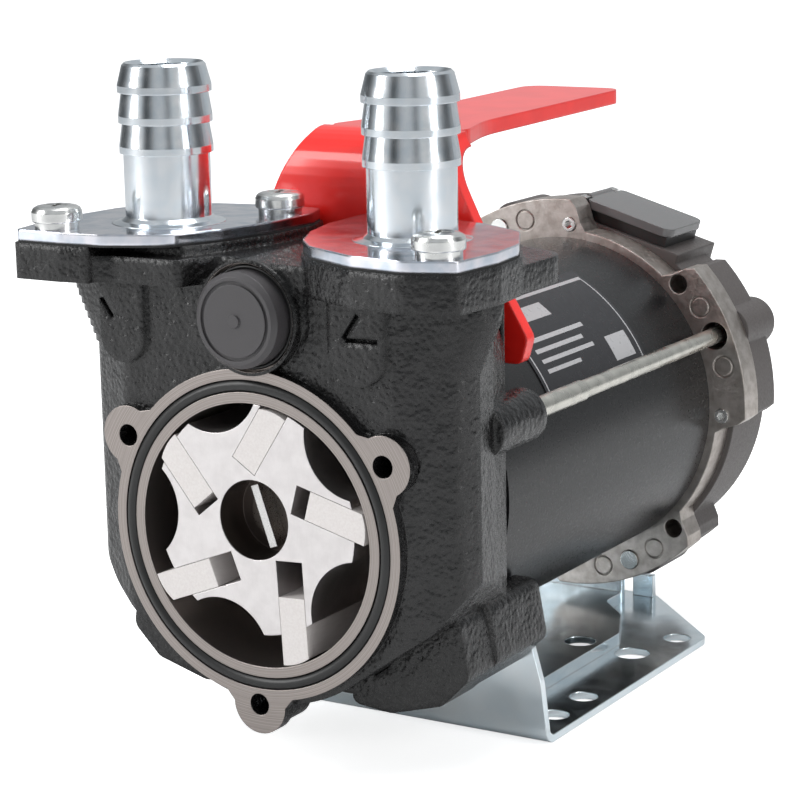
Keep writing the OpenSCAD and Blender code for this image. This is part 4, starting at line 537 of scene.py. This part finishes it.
printed = film_finish.math("SUBTRACT", film_inside(FILM_MARGIN), film_inside(FILM_MARGIN + FILM_LINE))
for y_from, y_to, z_from, z_to in FILM_BARS:
    bar = film_patch(film_low[1] + y_from * film_long, film_low[1] + y_to * film_long,
                     film_low[2] + z_from * film_tall, film_low[2] + z_to * film_tall)
    printed = film_finish.math("MAXIMUM", printed, bar)
film_finish.set("Base Color", film_finish.blend(printed, FILM_DARK, FILM_PRINT))
film_finish.satin(film_finish.noise(2 * mm), low=0.26, high=0.38)
dress(film_finish, "motor_label")

# Two ferrite magnets line the motor casing, glued in. They are pressed and fired, and left as they
# come from the kiln.
ferrite = Finish("magnet_ferrite", (0.06, 0.06, 0.065), roughness=0.6)
ferrite.bump(ferrite.noise(0.8 * mm), depth=0.1 * mm, strength=0.5)
dress(ferrite, "field_magnets")

# The armature is a stack of thin steel laminations pressed on the shaft. Its copper windings end
# in the copper bars of the commutator.
laminations = Finish("core_laminations", (0.30, 0.30, 0.30), roughness=0.4, metallic=1.0)
laminations.bump(laminations.noise(0.5 * mm, detail=2.0, stretch=(40, 1, 40)), depth=0.1 * mm, strength=0.6)
dress(laminations, "armature_core")
copper = Finish("copper", (0.70, 0.33, 0.16), roughness=0.35, metallic=1.0)
copper.bump(copper.noise(0.9 * mm, detail=2.0, stretch=(1, 8, 1)), depth=0.2 * mm, strength=0.6)
dress(copper, "armature_windings", "commutator")

# The brush gear stands on a brown fibre board behind the armature. Brass holders on it guide
# the carbon brushes.
board = Finish("brush_board", (0.25, 0.18, 0.10), roughness=0.6)
board.bump(board.noise(0.8 * mm), depth=0.05 * mm, strength=0.5)
dress(board, "brush_plate")
brass = Finish("brass_holder", (0.70, 0.55, 0.25), roughness=0.3, metallic=1.0)
brass.satin(brass.noise(1.0 * mm), low=0.24, high=0.4)
dress(brass, "brush_holders")
carbon = Finish("carbon", (0.02, 0.02, 0.02), roughness=0.5)
carbon.bump(carbon.noise(0.4 * mm), depth=0.05 * mm, strength=0.5)
dress(carbon, "brushes")

# The rear flange is an aluminium casting, machined on its front face and on its rim. It closes
# the back of the motor and takes the rods and the cover's screws.
flange_finish = Finish("cast_aluminium", (0.46, 0.42, 0.39), roughness=0.4, metallic=1.0)
flange_finish.rounded(0.5 * mm)
flange_grain = flange_finish.noise(0.7 * mm)
flange_cloud = flange_finish.noise(2.5 * mm, detail=5.0)
flange_finish.clouded(flange_cloud, low=(0.40, 0.36, 0.33), high=(0.54, 0.50, 0.47))
flange_finish.satin(flange_grain, low=0.34, high=0.52)
flange_finish.bump(flange_grain, depth=0.12 * mm, strength=0.5)
dress(flange_finish, "rear_flange")

# Two long zinc plated steel rods pull the flange, the casing and the rear casting together.
# Each is screwed into a boss of the rear casting and has a nut behind the flange.
rod_finish = zinc("rod_zinc", low=(0.56, 0.55, 0.50), high=(0.70, 0.68, 0.62), rough_low=0.22,
                  rough_high=0.36)
dress(rod_finish, "tie_rods", "tie_rod_nuts")

# The rear cover over the brush gear and the switch is moulded in dark grey plastic, and so is
# the cable gland screwed into it.
cover_finish = Finish("cover_plastic", (0.085, 0.075, 0.072), roughness=0.5)
cover_finish.rounded(0.8 * mm)
cover_grain = cover_finish.noise(0.6 * mm)
cover_finish.satin(cover_grain, low=0.42, high=0.58)
cover_finish.bump(cover_grain, depth=0.12 * mm, strength=0.5)
dress(cover_finish, "rear_cover", "cable_gland")

# The rocker and the switch body that it tips in are glossy black plastic. The body snaps
# into a window on top of the rear cover.
switch_finish = Finish("switch_plastic", (0.018, 0.018, 0.018), roughness=0.3)
switch_finish.rounded(0.3 * mm)
switch_finish.satin(switch_finish.noise(0.8 * mm), low=0.25, high=0.4)
dress(switch_finish, "switch_body", "switch_rocker")

# A smoky clear flap keeps spray off the switch. It is moulded in one piece and swings on a steel pin
# at its edge.
flap_finish = Finish("flap_clear", (0.20, 0.198, 0.20), roughness=0.12, Transmission_Weight=0.35, IOR=1.49)
flap_finish.satin(flap_finish.noise(1.5 * mm), low=0.08, high=0.2)
flap_finish.rounded(0.5 * mm)
dress(flap_finish, "switch_flap")

# The base is pressed and bent from one steel sheet and zinc plated, with two bolts to the casting's
# feet and one screw at the back.
bracket_finish = zinc("bracket_zinc", low=(0.80, 0.89, 0.94), high=(0.88, 0.94, 0.97), rough_low=0.15,
                      rough_high=0.26, spangle=9 * mm, edge=0.5 * mm)
dress(bracket_finish, "base_bracket")
